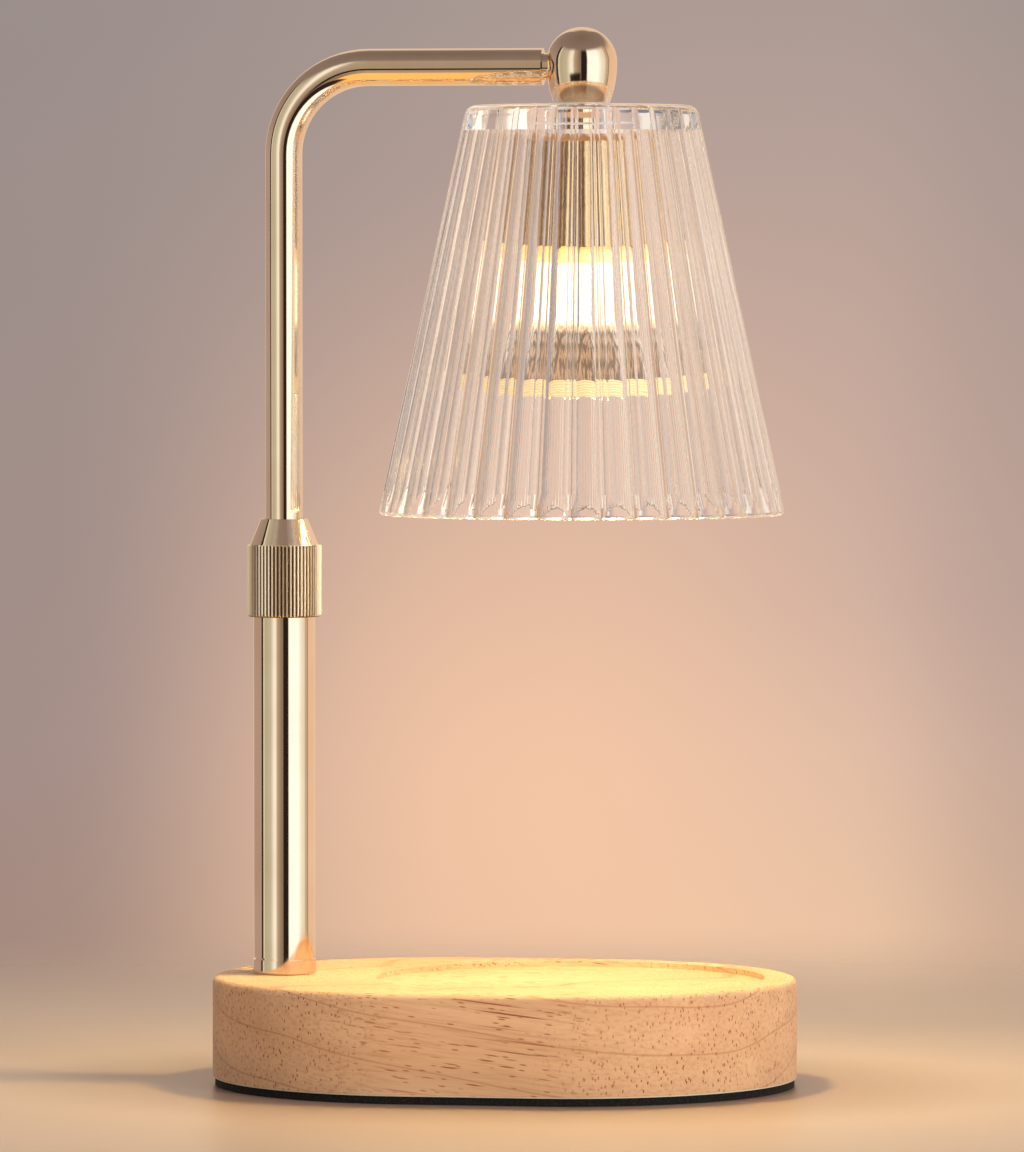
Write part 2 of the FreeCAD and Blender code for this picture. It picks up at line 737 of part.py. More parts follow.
def socket_cup():
    """Spun cup that hides the lamp holder."""
    body = new_body("socket_cup", head_x, cup_bottom_z)
    outer = size("cup_diameter") / 2
    inner = outer - size("cup_wall")
    top = size("cup_height")
    hole = size("nipple_diameter") / 2 + size("hole_gap")
    roof = top - size("cup_wall")
    bend = size("cup_round")
    turn(body, [(inner, ZERO), (outer, ZERO), (outer, top - bend), (outer - bend, top, bend),
                (hole, top), (hole, roof), (inner - bend + size("cup_wall"), roof),
                (inner, top - bend, -(bend - size("cup_wall")))])
    return body


def socket_bracket():
    """Bent strip that carries the lamp holder from the nipple."""
    body = new_body("socket_bracket", head_x, holder_top_z)
    top = bracket_top_z - holder_top_z
    gauge = size("bracket_gauge")
    out = size("bracket_span") / 2
    foot = out - size("bracket_foot")
    profile = outline(new_sketch(body, "YZ_Plane"), [
        (-out, ZERO), (-foot, ZERO), (-foot, gauge), (gauge - out, gauge),
        (gauge - out, top - gauge), (out - gauge, top - gauge), (out - gauge, gauge),
        (foot, gauge), (foot, ZERO), (out, ZERO), (out, top), (-out, top)])
    extrude(body, "Pad", profile, size("bracket_width"), Midplane=True)
    hole = circle(new_sketch(body, "XY_Plane", top), ZERO, ZERO,
                  size("nipple_diameter") + size("hole_gap") * 2)
    extrude(body, "Pocket", hole, gauge * 2)
    for side in (1, -1):
        screw = circle(new_sketch(body, "XY_Plane"), ZERO, screw_y * side,
                       size("screw_diameter") + size("thread_gap") * 2)
        extrude(body, "Pocket", screw, gauge, Reversed=True)
    return body


def bracket_screws():
    """Two screws that hold the lamp holder to the bracket."""
    body = new_body("bracket_screws", head_x, holder_top_z - size("screw_length"))
    shank = size("screw_length") + size("bracket_gauge")
    rod = circle(new_sketch(body, "XY_Plane"), ZERO, screw_y, size("screw_diameter"))
    shaft = extrude(body, "Pad", rod, shank)
    cap = circle(new_sketch(body, "XY_Plane", shank), ZERO, screw_y,
                 size("screw_head_diameter"))
    head = extrude(body, "Pad", cap, size("screw_head_height"))
    repeat(body, [shaft, head], 2)
    return body


def lamp_holder():
    """Ceramic twist-lock holder: a slotted plate with room above it for the pin heads."""
    body = new_body("lamp_holder", head_x, holder_z)
    radius = size("holder_diameter") / 2
    height = size("holder_height")
    plate = size("slot_plate")
    room_top = plate + size("head_room")
    turn(body, [(ZERO, ZERO), (radius, ZERO), (radius, height), (ZERO, height)])
    turn(body, [(size("head_room_inner") / 2, plate), (size("head_room_outer") / 2, plate),
                (size("head_room_outer") / 2, room_top),
                (size("head_room_inner") / 2, room_top)], kind="Groove")
    pin = size("pin_spacing") / 2
    slot_half = size("pin_diameter") / 2 + size("free_gap")
    slot = turn(body, [(pin - slot_half, ZERO), (pin + slot_half, ZERO),
                       (pin + slot_half, plate), (pin - slot_half, plate)],
                kind="Groove", Angle=size("twist_angle"), Reversed=True)
    rest = circle(new_sketch(body, "XY_Plane"), pin, ZERO, slot_half * 2)
    rest_hole = extrude(body, "Pocket", rest, plate, Reversed=True)
    angle = size("twist_angle")
    entry = circle(new_sketch(body, "XY_Plane"), pin * angle.turned("cos"),
                   -(pin * angle.turned("sin")),
                   size("pin_head_diameter") + size("free_gap") * 2)
    entry_hole = extrude(body, "Pocket", entry, plate, Reversed=True)
    wire = circle(new_sketch(body, "XY_Plane", height), pin, ZERO,
                  size("contact_stem") + size("thread_gap") * 2)
    wire_hole = extrude(body, "Pocket", wire, height - room_top)
    repeat(body, [slot, rest_hole, entry_hole, wire_hole], 2)
    for side in (1, -1):
        screw = circle(new_sketch(body, "XY_Plane", height), ZERO, screw_y * side,
                       size("screw_diameter") + size("thread_gap") * 2)
        extrude(body, "Pocket", screw, size("screw_length") + size("end_gap"))
    return body


def socket_contacts():
    """Two contact leaves on the roof of the pin room, each with its stem in the wire hole."""
    room_top = size("slot_plate") + size("head_room")
    body = new_body("socket_contacts", head_x, holder_z + room_top - size("contact_gauge"))
    pin = size("pin_spacing") / 2
    half = size("contact_width") / 2
    leaf = rectangle(new_sketch(body, "XY_Plane"), pin - half, pin + half, -half, half)
    plate = extrude(body, "Pad", leaf, size("contact_gauge"))
    stem = circle(new_sketch(body, "XY_Plane"), pin, ZERO, size("contact_stem"))
    rod = extrude(body, "Pad", stem,
                  size("holder_height") - room_top + size("contact_gauge"))
    repeat(body, [plate, rod], 2)
    return body


def bulb_pins():
    """Two headed pins of the bulb."""
    body = new_body("bulb_pins", head_x, cap_top_z)
    pin = size("pin_spacing") / 2
    neck = pin_head_z - cap_top_z
    rod = circle(new_sketch(body, "XY_Plane"), pin, ZERO, size("pin_diameter"))
    shaft = extrude(body, "Pad", rod, neck)
    button = circle(new_sketch(body, "XY_Plane", neck), pin, ZERO,
                    size("pin_head_diameter"))
    head = extrude(body, "Pad", button, size("pin_head_height"))
    repeat(body, [shaft, head], 2)
    return body


def bulb_cap():
    """Ceramic cap of the bulb: a flatted block, a skirt and a boss in the glass neck."""
    height = size("cap_height")
    neck_top = cap_top_z - height
    body = new_body("bulb_cap", head_x, neck_top - size("cap_boss"))
    boss = size("cap_boss")
    inner = size("bulb_neck_diameter") / 2 - size("bulb_wall") - size("thread_gap")
    stem = size("capsule_stem") / 2 + size("thread_gap")
    skirt_top = boss + size("cap_skirt")
    turn(body, [(ZERO, size("capsule_stem_length")), (stem, size("capsule_stem_length")),
                (stem, ZERO), (inner, ZERO), (inner, boss),
                (size("bulb_neck_diameter") / 2, boss),
                (size("bulb_neck_diameter") / 2, skirt_top),
                (size("cap_diameter") / 2, skirt_top),
                (size("cap_diameter") / 2, boss + height), (ZERO, boss + height)])
    wide = size("cap_diameter")
    for side in (1, -1):
        flat = size("cap_flats") / 2 * side
        far = wide * side
        low, high = (flat, far) if side > 0 else (far, flat)
        cheek = rectangle(new_sketch(body, "XY_Plane", skirt_top), -wide, wide, low, high)
        extrude(body, "Pocket", cheek, height, Reversed=True)
    return body


def bulb_reflector():
    """Glass reflector of the bulb, a curved bell that narrows to its neck."""
    rim_z = bulb_bottom_z + size("lens_rim_height")
    neck_top = cap_top_z - size("cap_height")
    body = new_body("bulb_reflector", head_x, rim_z)
    wall = size("bulb_wall")
    mouth = size("bulb_diameter") / 2 - size("thread_gap")
    neck = size("bulb_neck_diameter") / 2
    top = neck_top - rim_z
    bell = top - size("bulb_neck_length")
    curve = size("bulb_curve")
    turn(body, [(mouth - wall, ZERO, -curve), (mouth, ZERO), (neck, bell, curve),
                (neck, top), (neck - wall, top), (neck - wall, bell)])
    return body


def bulb_lens():
    """Front glass of the bulb with its deep rim."""
    outer = size("bulb_diameter") / 2
    inner = outer - size("lens_rim_wall")
    body = new_body("bulb_lens", head_x, bulb_bottom_z)
    turn(body, [(ZERO, ZERO), (outer, ZERO), (outer, size("lens_rim_height")),
                (inner, size("lens_rim_height")), (inner, size("lens_thickness")),
                (ZERO, size("lens_thickness"))])
    return body


def bulb_capsule():
    """Quartz burner capsule, hollow, with a stem in the cap."""
    base_z = cap_top_z - size("cap_height") - size("cap_boss")
    body = new_body("bulb_capsule", head_x, base_z - size("capsule_length"))
    outer = size("capsule_diameter") / 2
    wall = size("capsule_wall")
    inner = outer - wall
    length = size("capsule_length")
    stem = size("capsule_stem") / 2
    stem_top = length + size("capsule_stem_length")
    turn(body, [(ZERO, ZERO), (outer, outer, outer), (outer, length), (stem, length),
                (stem, stem_top), (ZERO, stem_top), (ZERO, length - wall),
                (inner, length - wall), (inner, outer), (ZERO, wall, -inner)])
    return body


def bulb_filament():
    """Filament coil and its lead, hanging from the roof of the capsule."""
    roof = cap_top_z - size("cap_height") - size("cap_boss") - size("capsule_wall")
    drop = size("capsule_length") / 2
    body = new_body("bulb_filament", head_x, roof - drop)
    coil = size("filament_diameter") / 2
    lead = size("filament_lead") / 2
    turn(body, [(ZERO, ZERO), (coil, ZERO), (coil, size("filament_length")),
                (lead, size("filament_length")), (lead, drop), (ZERO, drop)])
    return body


wooden_base()
flat_sheet("adhesive_film", size("film_inset"), size("film_height"), size("pad_height"))
flat_sheet("base_pad", size("pad_inset"), size("pad_height"), ZERO)
cord_grommet()

pocket_roof = wood_bottom + size("pocket_depth")
washer_z = pocket_roof - size("washer_thickness")
nut_z = washer_z - size("nut_height")
stud_z = nut_z - size("stud_overrun")
stud_hole = size("stud_diameter") + size("hole_gap") * 2
stud_thread = size("stud_diameter") + size("thread_gap") * 2
ring("base_washer", size("washer_diameter"), stud_hole, size("washer_thickness"), pole_x,
     washer_z)
hex_nut("base_nut", size("nut_flats"), stud_thread, size("nut_height"), pole_x, nut_z)
ring("base_stud", size("stud_diameter"), size("stud_bore"),
     pole_bottom + size("foot_spigot") - size("end_gap") - stud_z, pole_x, stud_z)
foot_ring()
ring("lower_tube", size("pole_diameter"), pole_bore, size("pole_length"), pole_x,
     pole_bottom)
thread_bush()
collet()
lock_collar()

ring("guide_bush", pole_bore - size("running_gap") * 2,
     size("arm_diameter") + size("running_gap") * 2, size("guide_length"), pole_x, guide_z)

arm_tube()
ring("stop_ring", size("stop_ring_diameter"), size("arm_diameter") + size("thread_gap") * 2,
     size("stop_ring_height"), pole_x, stop_ring_z)
ring("end_ring", size("stop_ring_diameter"), size("arm_diameter") + size("thread_gap") * 2,
     size("end_ring_height"), pole_x, arm_bottom)
ball()
nipple_hole = size("nipple_diameter") + size("hole_gap") * 2
nipple_thread = size("nipple_diameter") + size("thread_gap") * 2
ring("head_nipple", size("nipple_diameter"), size("nipple_bore"),
     ball_flat_z + size("nipple_grip") - nipple_bottom_z, head_x, nipple_bottom_z)
ring("upper_gasket", size("upper_gasket_diameter"), nipple_hole, size("gasket_thickness"),
     head_x, shade_top_z)
glass_shade()
ring("lower_gasket", size("lower_gasket_diameter"), nipple_hole, size("gasket_thickness"),
     head_x, cup_top_z)
socket_cup()
socket_bracket()
ring("nipple_washer", size("nipple_washer_diameter"), nipple_hole,
     size("nipple_washer_thickness"), head_x, nipple_washer_z)
hex_nut("nipple_nut", size("nipple_nut_flats"), nipple_thread, size("nipple_nut_height"),
        head_x, nipple_nut_z)
lamp_holder()
bracket_screws()
socket_contacts()

bulb_pins()
bulb_cap()
bulb_reflector()
bulb_lens()
bulb_capsule()
bulb_filament()

doc.recompute()
faults = [f"{item.Name} ({item.getStatusString()})" for item in doc.Objects
          if "Invalid" in item.State or "Error" in item.State]
if faults:
    raise RuntimeError(f"these objects failed: {faults}")

bodies = [item for item in doc.Objects if item.isDerivedFrom("PartDesign::Body")]
for part in bodies:
    if part.Shape.isNull() or not part.Shape.isValid():
        raise RuntimeError(f"{part.Label} has no valid shape")

os.makedirs("parts", exist_ok=True)
for part in bodies:
    part.Shape.exportStep(f"parts/{part.Label}.step")
    solids = len(part.Shape.Solids)
    print(f"{part.Label}: {solids} solid(s), {part.Shape.Volume / 1000:.2f} cm3")
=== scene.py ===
"""Looks of the candle warmer lamp: finishes for its parts, two finer pieces, and a studio.

Metres, +Z up. The pole stands towards -X, the candle recess lies towards +X, and the lit bulb
hangs inside the fluted glass shade.
"""

import logging
import math
from dataclasses import dataclass, field
from enum import Enum
from typing import Any, Union

import bmesh
import bpy
from mathutils import Matrix, Vector


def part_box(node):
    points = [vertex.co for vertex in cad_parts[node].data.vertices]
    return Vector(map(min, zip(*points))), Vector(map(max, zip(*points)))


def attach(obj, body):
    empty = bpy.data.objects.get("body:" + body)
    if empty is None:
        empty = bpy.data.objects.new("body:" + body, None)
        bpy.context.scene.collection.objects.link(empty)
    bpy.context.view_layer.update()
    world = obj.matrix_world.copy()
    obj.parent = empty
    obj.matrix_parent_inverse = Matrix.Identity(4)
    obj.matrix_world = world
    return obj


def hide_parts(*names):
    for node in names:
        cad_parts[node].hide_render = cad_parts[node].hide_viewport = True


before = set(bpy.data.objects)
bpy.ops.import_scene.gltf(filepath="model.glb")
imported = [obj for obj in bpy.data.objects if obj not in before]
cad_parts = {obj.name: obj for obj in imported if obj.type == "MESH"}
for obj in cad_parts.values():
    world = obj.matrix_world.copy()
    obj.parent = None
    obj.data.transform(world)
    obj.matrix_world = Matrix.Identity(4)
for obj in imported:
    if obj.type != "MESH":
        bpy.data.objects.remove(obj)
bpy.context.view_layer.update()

MM = 0.001
TINY = 1e-6
DEGREES = math.degrees(1.0)
HALF_TURN = 180.0
UP = (0.0, 0.0, 1.0)
MIX_SHARE, MIX_FIRST, MIX_SECOND, MIX_RESULT = 0, 6, 7, 2

log = logging.getLogger("lamp")

Triple = tuple[float, float, float]
Colour = Triple
NONE: Triple = (0.0, 0.0, 0.0)
FULL: Triple = (1.0, 1.0, 1.0)
Value = Union["Wire", float]


class Body(Enum):
    """The lamp's moving bodies."""

    ROOT = "root"
    COLLAR = "collar"
    SLIDER = "slider"
    ARM = "arm"
    BULB = "bulb"


def opaque(colour: Colour) -> tuple[float, float, float, float]:
    """Give a colour its fourth channel."""
    return (*colour, 1.0)


# ---- shader maths


class Wire:
    """An output socket, with the operators that shader maths uses.

    Args:
        paint: the node tree's helper that makes the nodes.
        socket: the socket that is wrapped.
    """

    def __init__(self, paint: "Paint", socket: bpy.types.NodeSocket) -> None:
        self.paint = paint
        self.socket = socket

    def _maths(self, operation: str, first: Value, second: Value = 0.0) -> "Wire":
        """Add one Math node.

        Args:
            operation: the node's operation.
            first: its first value.
            second: its second value.

        Returns:
            The node's output.
        """
        return self.paint.node("ShaderNodeMath", {"operation": operation}, {0: first, 1: second})

    def __add__(self, other: Value) -> "Wire":
        """Add a value."""
        return self._maths("ADD", self, other)

    __radd__ = __add__

    def __sub__(self, other: Value) -> "Wire":
        """Take a value away."""
        return self._maths("SUBTRACT", self, other)

    def __rsub__(self, other: Value) -> "Wire":
        """Take this from a value."""
        return self._maths("SUBTRACT", other, self)

    def __mul__(self, other: Value) -> "Wire":
        """Multiply by a value."""
        return self._maths("MULTIPLY", self, other)

    __rmul__ = __mul__

    def __truediv__(self, other: Value) -> "Wire":
        """Divide by a value."""
        return self._maths("DIVIDE", self, other)

    def sine(self) -> "Wire":
        """Give the sine of this angle in radians."""
        return self._maths("SINE", self)

    def arcsine(self) -> "Wire":
        """Give the angle in radians whose sine this is."""
        return self._maths("ARCSINE", self)

    def angle_to(self, other: Value) -> "Wire":
        """Give the angle whose tangent is this over other."""
        return self._maths("ARCTAN2", self, other)

    def larger(self, other: Value) -> "Wire":
        """Give the larger of two values."""
        return self._maths("MAXIMUM", self, other)

    def size(self) -> "Wire":
        """Give this value without its sign."""
        return self._maths("ABSOLUTE", self)

    def above(self, limit: float) -> "Wire":
        """Be 1 above a limit and 0 below it."""
        return self._maths("GREATER_THAN", self, limit)

    def rise(self, low: float, high: float) -> "Wire":
        """Rise smoothly from 0 at low to 1 at high.

        Args:
            low: where the rise starts.
            high: where it ends.

        Returns:
            A value from 0 to 1.
        """
        settings = {"interpolation_type": "SMOOTHSTEP"}
        values = {"Value": self, "From Min": low, "From Max": high}
        return self.paint.node("ShaderNodeMapRange", settings, values)

    def band(self, low: float, high: float, soft: float) -> "Wire":
        """Be 1 between two limits and 0 outside them.

        Args:
            low: the lower limit.
            high: the upper limit.
            soft: half the width of each edge.

        Returns:
            A value from 0 to 1.
        """
        return self.rise(low - soft, low + soft) * (1.0 - self.rise(high - soft, high + soft))


class Paint:
    """Makes the nodes of one material or world.

    Args:
        tree: the node tree to fill, which is emptied first.
    """

    def __init__(self, tree: bpy.types.NodeTree) -> None:
        self.tree = tree
        tree.nodes.clear()

    def node(self, kind: str, settings: dict[str, Any], values: dict[Any, Any],
             output: Union[int, str] = 0) -> Wire:
        """Add a node.

        Args:
            kind: the node's type.
            settings: its properties; "stops" gives a ramp's places and colours.
            values: what its input sockets hold or are linked to.
            output: the output socket wanted.

        Returns:
            That output.
        """
        made = self.tree.nodes.new(kind)
        for name, setting in settings.items():
            if name != "stops":
                setattr(made, name, setting)
                continue
            ramp = made.color_ramp
            while len(ramp.elements) < len(setting):
                ramp.elements.new(1.0)
            for element, (place, colour) in zip(ramp.elements, setting):
                element.position = place
                element.color = opaque(colour)
        for name, value in values.items():
            socket = made.inputs[name]
            if isinstance(value, Wire):
                self.tree.links.new(value.socket, socket)
            elif isinstance(value, tuple) and len(value) == 3 and socket.type == "RGBA":
                socket.default_value = opaque(value)
            else:
                socket.default_value = value
        return Wire(self, made.outputs[output])

    def place(self, scale: Triple = FULL, shift: Triple = NONE, turn: Triple = NONE) -> Wire:
        """Give the place on the object, scaled, turned and moved.

        Args:
            scale: factors along the axes.
            shift: added after scaling.
            turn: angles about the axes, in radians.

        Returns:
            The vector.
        """
        here = self.node("ShaderNodeTexCoord", {}, {}, "Object")
        values = {"Vector": here, "Scale": scale, "Location": shift, "Rotation": turn}
        return self.node("ShaderNodeMapping", {}, values)

    def stretch(self, vector: Wire, scale: Triple, shift: Triple = NONE) -> Wire:
        """Scale and move a vector.

        Args:
            vector: what is changed.
            scale: factors along its axes.
            shift: added after scaling.

        Returns:
            The changed vector.
        """
        return self.node("ShaderNodeMapping", {}, {0: vector, "Scale": scale, "Location": shift})

    def split(self, vector: Wire) -> tuple[Wire, Wire, Wire]:
        """Give a vector's three parts."""
        first = self.node("ShaderNodeSeparateXYZ", {}, {0: vector})
        sockets = first.socket.node.outputs
        return first, Wire(self, sockets[1]), Wire(self, sockets[2])

    def noise(self, vector: Wire, scale: float = 1.0, detail: float = 3.0,
              roughness: float = 0.5) -> Wire:
        """Give a smooth random value from 0 to 1.

        Args:
            vector: where it is read.
            scale: how fine it is.
            detail: how many finer layers it has.
            roughness: how strong those layers are.

        Returns:
            The value.
        """
        values = {"Vector": vector, "Scale": scale, "Detail": detail, "Roughness": roughness}
        return self.node("ShaderNodeTexNoise", {}, values)

    def cells(self, vector: Wire, scale: float = 1.0) -> Wire:
        """Give the distance to the nearest of scattered points."""
        return self.node("ShaderNodeTexVoronoi", {}, {"Vector": vector, "Scale": scale})

    def length(self, vector: Wire) -> Wire:
        """Give a vector's length."""
        return self.node("ShaderNodeVectorMath", {"operation": "LENGTH"}, {0: vector}, "Value")

    def reach(self, centre: float) -> Wire:
        """Give the distance from the upright axis at an x."""
        return self.length(self.place(scale=(1.0, 1.0, 0.0), shift=(-centre, 0.0, 0.0)))

    def level(self, low: float, high: float) -> Wire:
        """Give how far up a place lies, 0 at a low and 1 at a high Z."""
        return (self.split(self.place())[2] - low) / (high - low)

    def blend(self, share: Value, first: Any, second: Any) -> Wire:
        """Mix two colours.

        Args:
            share: how much of the second shows.
            first: a colour or a Wire.
            second: a colour or a Wire.

        Returns:
            The mixed colour.
        """
        values = {MIX_SHARE: share, MIX_FIRST: first, MIX_SECOND: second}
        return self.node("ShaderNodeMix", {"data_type": "RGBA"}, values, MIX_RESULT)

    def ramp(self, value: Wire, stops: list[tuple[float, Colour]]) -> Wire:
        """Turn a value into a colour by stops."""
        return self.node("ShaderNodeValToRGB", {"stops": stops}, {0: value})

    def bump(self, height: Wire, depth: float, strength: float = 1.0) -> Wire:
        """Turn a height into a normal.

        Args:
            height: from 0 to 1.
            depth: what a height of 1 stands for, in metres.
            strength: how much of it shows.

        Returns:
            The normal.
        """
        return self.node("ShaderNodeBump", {},
                         {"Height": height, "Distance": depth, "Strength": strength})

    def principled(self, **sockets: Any) -> Wire:
        """Add the surface shader, its sockets named with underscores for spaces."""
        values = {name.replace("_", " "): value for name, value in sockets.items()}
        return self.node("ShaderNodeBsdfPrincipled", {}, values)

    def clear(self, colour: Colour = FULL) -> Wire:
        """Add a shader that rays pass straight through, tinted."""
        return self.node("ShaderNodeBsdfTransparent", {}, {0: colour})

    def background(self, colour: Any, strength: float = 1.0) -> Wire:
        """Add the light of a world."""
        return self.node("ShaderNodeBackground", {}, {0: colour, 1: strength})

    def either(self, share: Wire, first: Wire, second: Wire) -> Wire:
        """Mix two shaders.

        Args:
            share: how much of the second shows.
            first: a shader.
            second: a shader.

        Returns:
            The mixed shader.
        """
        return self.node("ShaderNodeMixShader", {}, {0: share, 1: first, 2: second})

    def ray(self, *facts: str) -> list[Wire]:
        """Say what kind of ray meets the surface.

        Args:
            facts: the names of what is asked.

        Returns:
            A value for each name.
        """
        path = self.node("ShaderNodeLightPath", {}, {}).socket.node
        return [Wire(self, path.outputs[fact]) for fact in facts]

    def show(self, shader: Wire, kind: str = "ShaderNodeOutputMaterial") -> None:
        """Link a shader to the output."""
        made = self.tree.nodes.new(kind)
        self.tree.links.new(shader.socket, made.inputs["Surface"])


# ---- finishes


@dataclass(frozen=True)
class Finish:
    """What a surface is made of.

    Args:
        name: the material's name.
    """

    name: str

    def material(self) -> bpy.types.Material:
        """Give the material, made on first use.

        Returns:
            The material.
        """
        found = bpy.data.materials.get(self.name)
        if found is not None:
            return found
        made = bpy.data.materials.new(self.name)
        made.use_nodes = True
        paint = Paint(made.node_tree)
        paint.show(self.shader(paint))
        return made

    def shader(self, paint: Paint) -> Wire:
        """Make the shader.

        Args:
            paint: the material's node helper.

        Returns:
            The shader's output.
        """
        raise NotImplementedError


@dataclass(frozen=True)
class Plating(Finish):
    """Polished metal plating with faint smears and a slightly wavy skin.

    Args:
        tint: its colour.
        smeared: its colour where it is smeared.
        polish: its roughness where it is clean.
        smear: what smears add to the roughness.
        wave: how deep its waves are, in metres.
    """

    tint: Colour
    smeared: Colour
    polish: float = 0.045
    smear: float = 0.05
    wave: float = 0.000032

    def shader(self, paint: Paint) -> Wire:
        """Make mirror metal whose gloss varies a little."""
        cloud = paint.noise(paint.place(), 55.0, 4.0, 0.55)
        grain = paint.noise(paint.place(scale=(1.0, 1.0, 0.05)), 2600.0, 2.0)
        return paint.principled(
            Base_Color=paint.blend(cloud.rise(0.35, 0.75), self.tint, self.smeared),
            Metallic=1.0,
            Roughness=self.polish + self.smear * cloud.rise(0.45, 0.8) + 0.02 * grain,
            Normal=paint.bump(paint.noise(paint.place(), 90.0, 2.0), self.wave, 0.35))


@dataclass(frozen=True)
class KnurledPlating(Plating):
    """The same plating on a knurled sleeve, dull in the valleys, with painted shade there.

    Args:
        centre: x of the sleeve's axis.
        valley: radius at the bottom of the knurl's grooves.
        ridge: radius of its ribs.
        top: height where the knurl ends.
        lit: height above the valley up to which the painted shade stays at its darkest.
        rib: colour of the ribs.
        shadow: colour of the painted shade in the valleys.
    """

    centre: float = 0.0
    valley: float = 0.0116
    ridge: float = 0.0121
    top: float = 1.0
    lit: float = 0.00015
    rib: Colour = (1.0, 0.87, 0.7)
    shadow: Colour = (0.2, 0.105, 0.05)

    def shader(self, paint: Paint) -> Wire:
        """Make plating with painted shade between the ribs."""
        here = paint.place(shift=(-self.centre, 0.0, 0.0))
        below = 1.0 - paint.split(here)[2].rise(self.top - 0.3 * MM, self.top)
        reach = paint.reach(self.centre)
        # deep is painted shade between the ribs: darkest at the valley, gone at the crest.
        deep = (1.0 - reach.rise(self.valley + self.lit, self.ridge)) * below
        patch = paint.noise(here, 420.0, 3.0)
        return paint.principled(
            Base_Color=paint.blend(deep * (0.76 + 0.3 * patch), self.rib, self.shadow),
            Metallic=1.0,
            Roughness=self.polish + 0.3 * below + 0.1 * deep,
            Normal=paint.bump(patch, 0.00003, 0.3))


@dataclass(frozen=True)
class TurnedMetal(Finish):
    """Plain turned or stamped metal with fine tool lines.

    Args:
        tint: its colour.
        rough: its least roughness.
        stained: how bright its stains are beside the rest.
    """

    tint: Colour
    rough: float = 0.28
    stained: float = 0.72

    def shader(self, paint: Paint) -> Wire:
        """Make satin metal with rings left by the tool."""
        lines = paint.noise(paint.place(scale=(1.0, 1.0, 9.0)), 900.0, 2.0)
        stain = paint.noise(paint.place(), 140.0, 4.0)
        dark = tuple(part * self.stained for part in self.tint)
        return paint.principled(
            Base_Color=paint.blend(stain.rise(0.4, 0.8), self.tint, dark),
            Metallic=1.0,
            Roughness=self.rough + 0.18 * lines,
            Normal=paint.bump(lines, 0.00002, 0.5))


@dataclass(frozen=True)
class Rubberwood(Finish):
    """Pale oiled rubberwood whose fibres run along X, with open brown pores.

    Args:
        pale: colour of the early wood.
        warm: colour of the late wood.
        line: colour of growth lines and fibres.
        pore: colour inside the pores.
        slope: angle between the fibres and the board's face, in radians.
    """

    pale: Colour = (0.92, 0.615, 0.375)
    warm: Colour = (0.74, 0.455, 0.255)
    line: Colour = (0.6, 0.27, 0.125)
    pore: Colour = (0.44, 0.1, 0.03)
    slope: float = -0.12

    def shader(self, paint: Paint) -> Wire:
        """Make soft growth bands, fibres and pores along X."""
        grain = paint.place(turn=(0.0, self.slope, 0.0))
        across, aside, up = paint.split(grain)
        drift = paint.noise(paint.stretch(grain, (4.0, 14.0, 14.0)), 1.0, 2.0)
        turn = ((up * 70.0 - aside * 13.0 + drift * 1.4) * math.tau).sine()
        shade = paint.noise(paint.stretch(grain, (6.0, 48.0, 48.0)), 1.0, 4.0)
        fibre = paint.noise(paint.stretch(grain, (40.0, 950.0, 950.0)), 1.0, 4.0, 0.7)
        soft = 0.6 * shade.rise(0.3, 0.72) + 0.2 * turn.rise(-0.8, 1.0)
        colour = paint.blend(soft, self.pale, self.warm)
        colour = paint.blend(turn.rise(0.985, 1.0) * 0.6, colour, self.line)
        colour = paint.blend(fibre.rise(0.42, 0.72) * 0.5, colour, self.line)
        spread = paint.noise(paint.stretch(grain, (11.0, 62.0, 62.0)), 1.0, 2.0)
        crowd = spread.rise(0.34, 0.54)
        middle = across.band(-0.042, 0.032, 0.02)
        ends = 1.0 - middle
        pores: Value = 0.0
        for scale, shift, edge, share in (
                ((16.0, 640.0, 640.0), (3.3, 7.7, 1.9), (0.11, 0.25), crowd * middle),
                ((66.0, 700.0, 700.0), (6.4, 2.8, 5.1), (0.1, 0.24), crowd * middle),
                ((150.0, 800.0, 800.0), (1.1, 4.2, 8.6), (0.1, 0.24),
                 crowd * (0.3 + 0.6 * middle)),
                ((760.0, 980.0, 390.0), NONE, (0.16, 0.28),
                 (0.48 + 0.52 * crowd) * ends)):
            hole = paint.cells(paint.stretch(grain, scale, shift))
            pores = ((1.0 - hole.rise(*edge)) * share).larger(pores)
        colour = paint.blend(pores * 0.95, colour, self.pore)
        return paint.principled(
            Base_Color=colour,
            Roughness=0.46 + 0.14 * fibre + 0.2 * pores,
            Normal=paint.bump(0.5 + 0.12 * fibre - 0.5 * pores, 0.00012, 0.7),
            Specular_IOR_Level=0.4)


@dataclass(frozen=True)
class FoamPad(Finish):
    """Black foam sheet with fine closed cells.

    Args:
        tone: its colour.
        lit: its colour where light catches a cell.
    """

    tone: Colour = (0.012, 0.011, 0.011)
    lit: Colour = (0.045, 0.042, 0.042)

    def shader(self, paint: Paint) -> Wire:
        """Make a matt black with tiny pits."""
        pits = paint.cells(paint.place(), 1500.0)
        speck = paint.noise(paint.place(), 1900.0, 2.0)
        return paint.principled(
            Base_Color=paint.blend(speck.rise(0.45, 0.8), self.tone, self.lit),
            Roughness=0.78 + 0.16 * speck, Specular_IOR_Level=0.15,
            Normal=paint.bump(pits, 0.0002, 0.8))


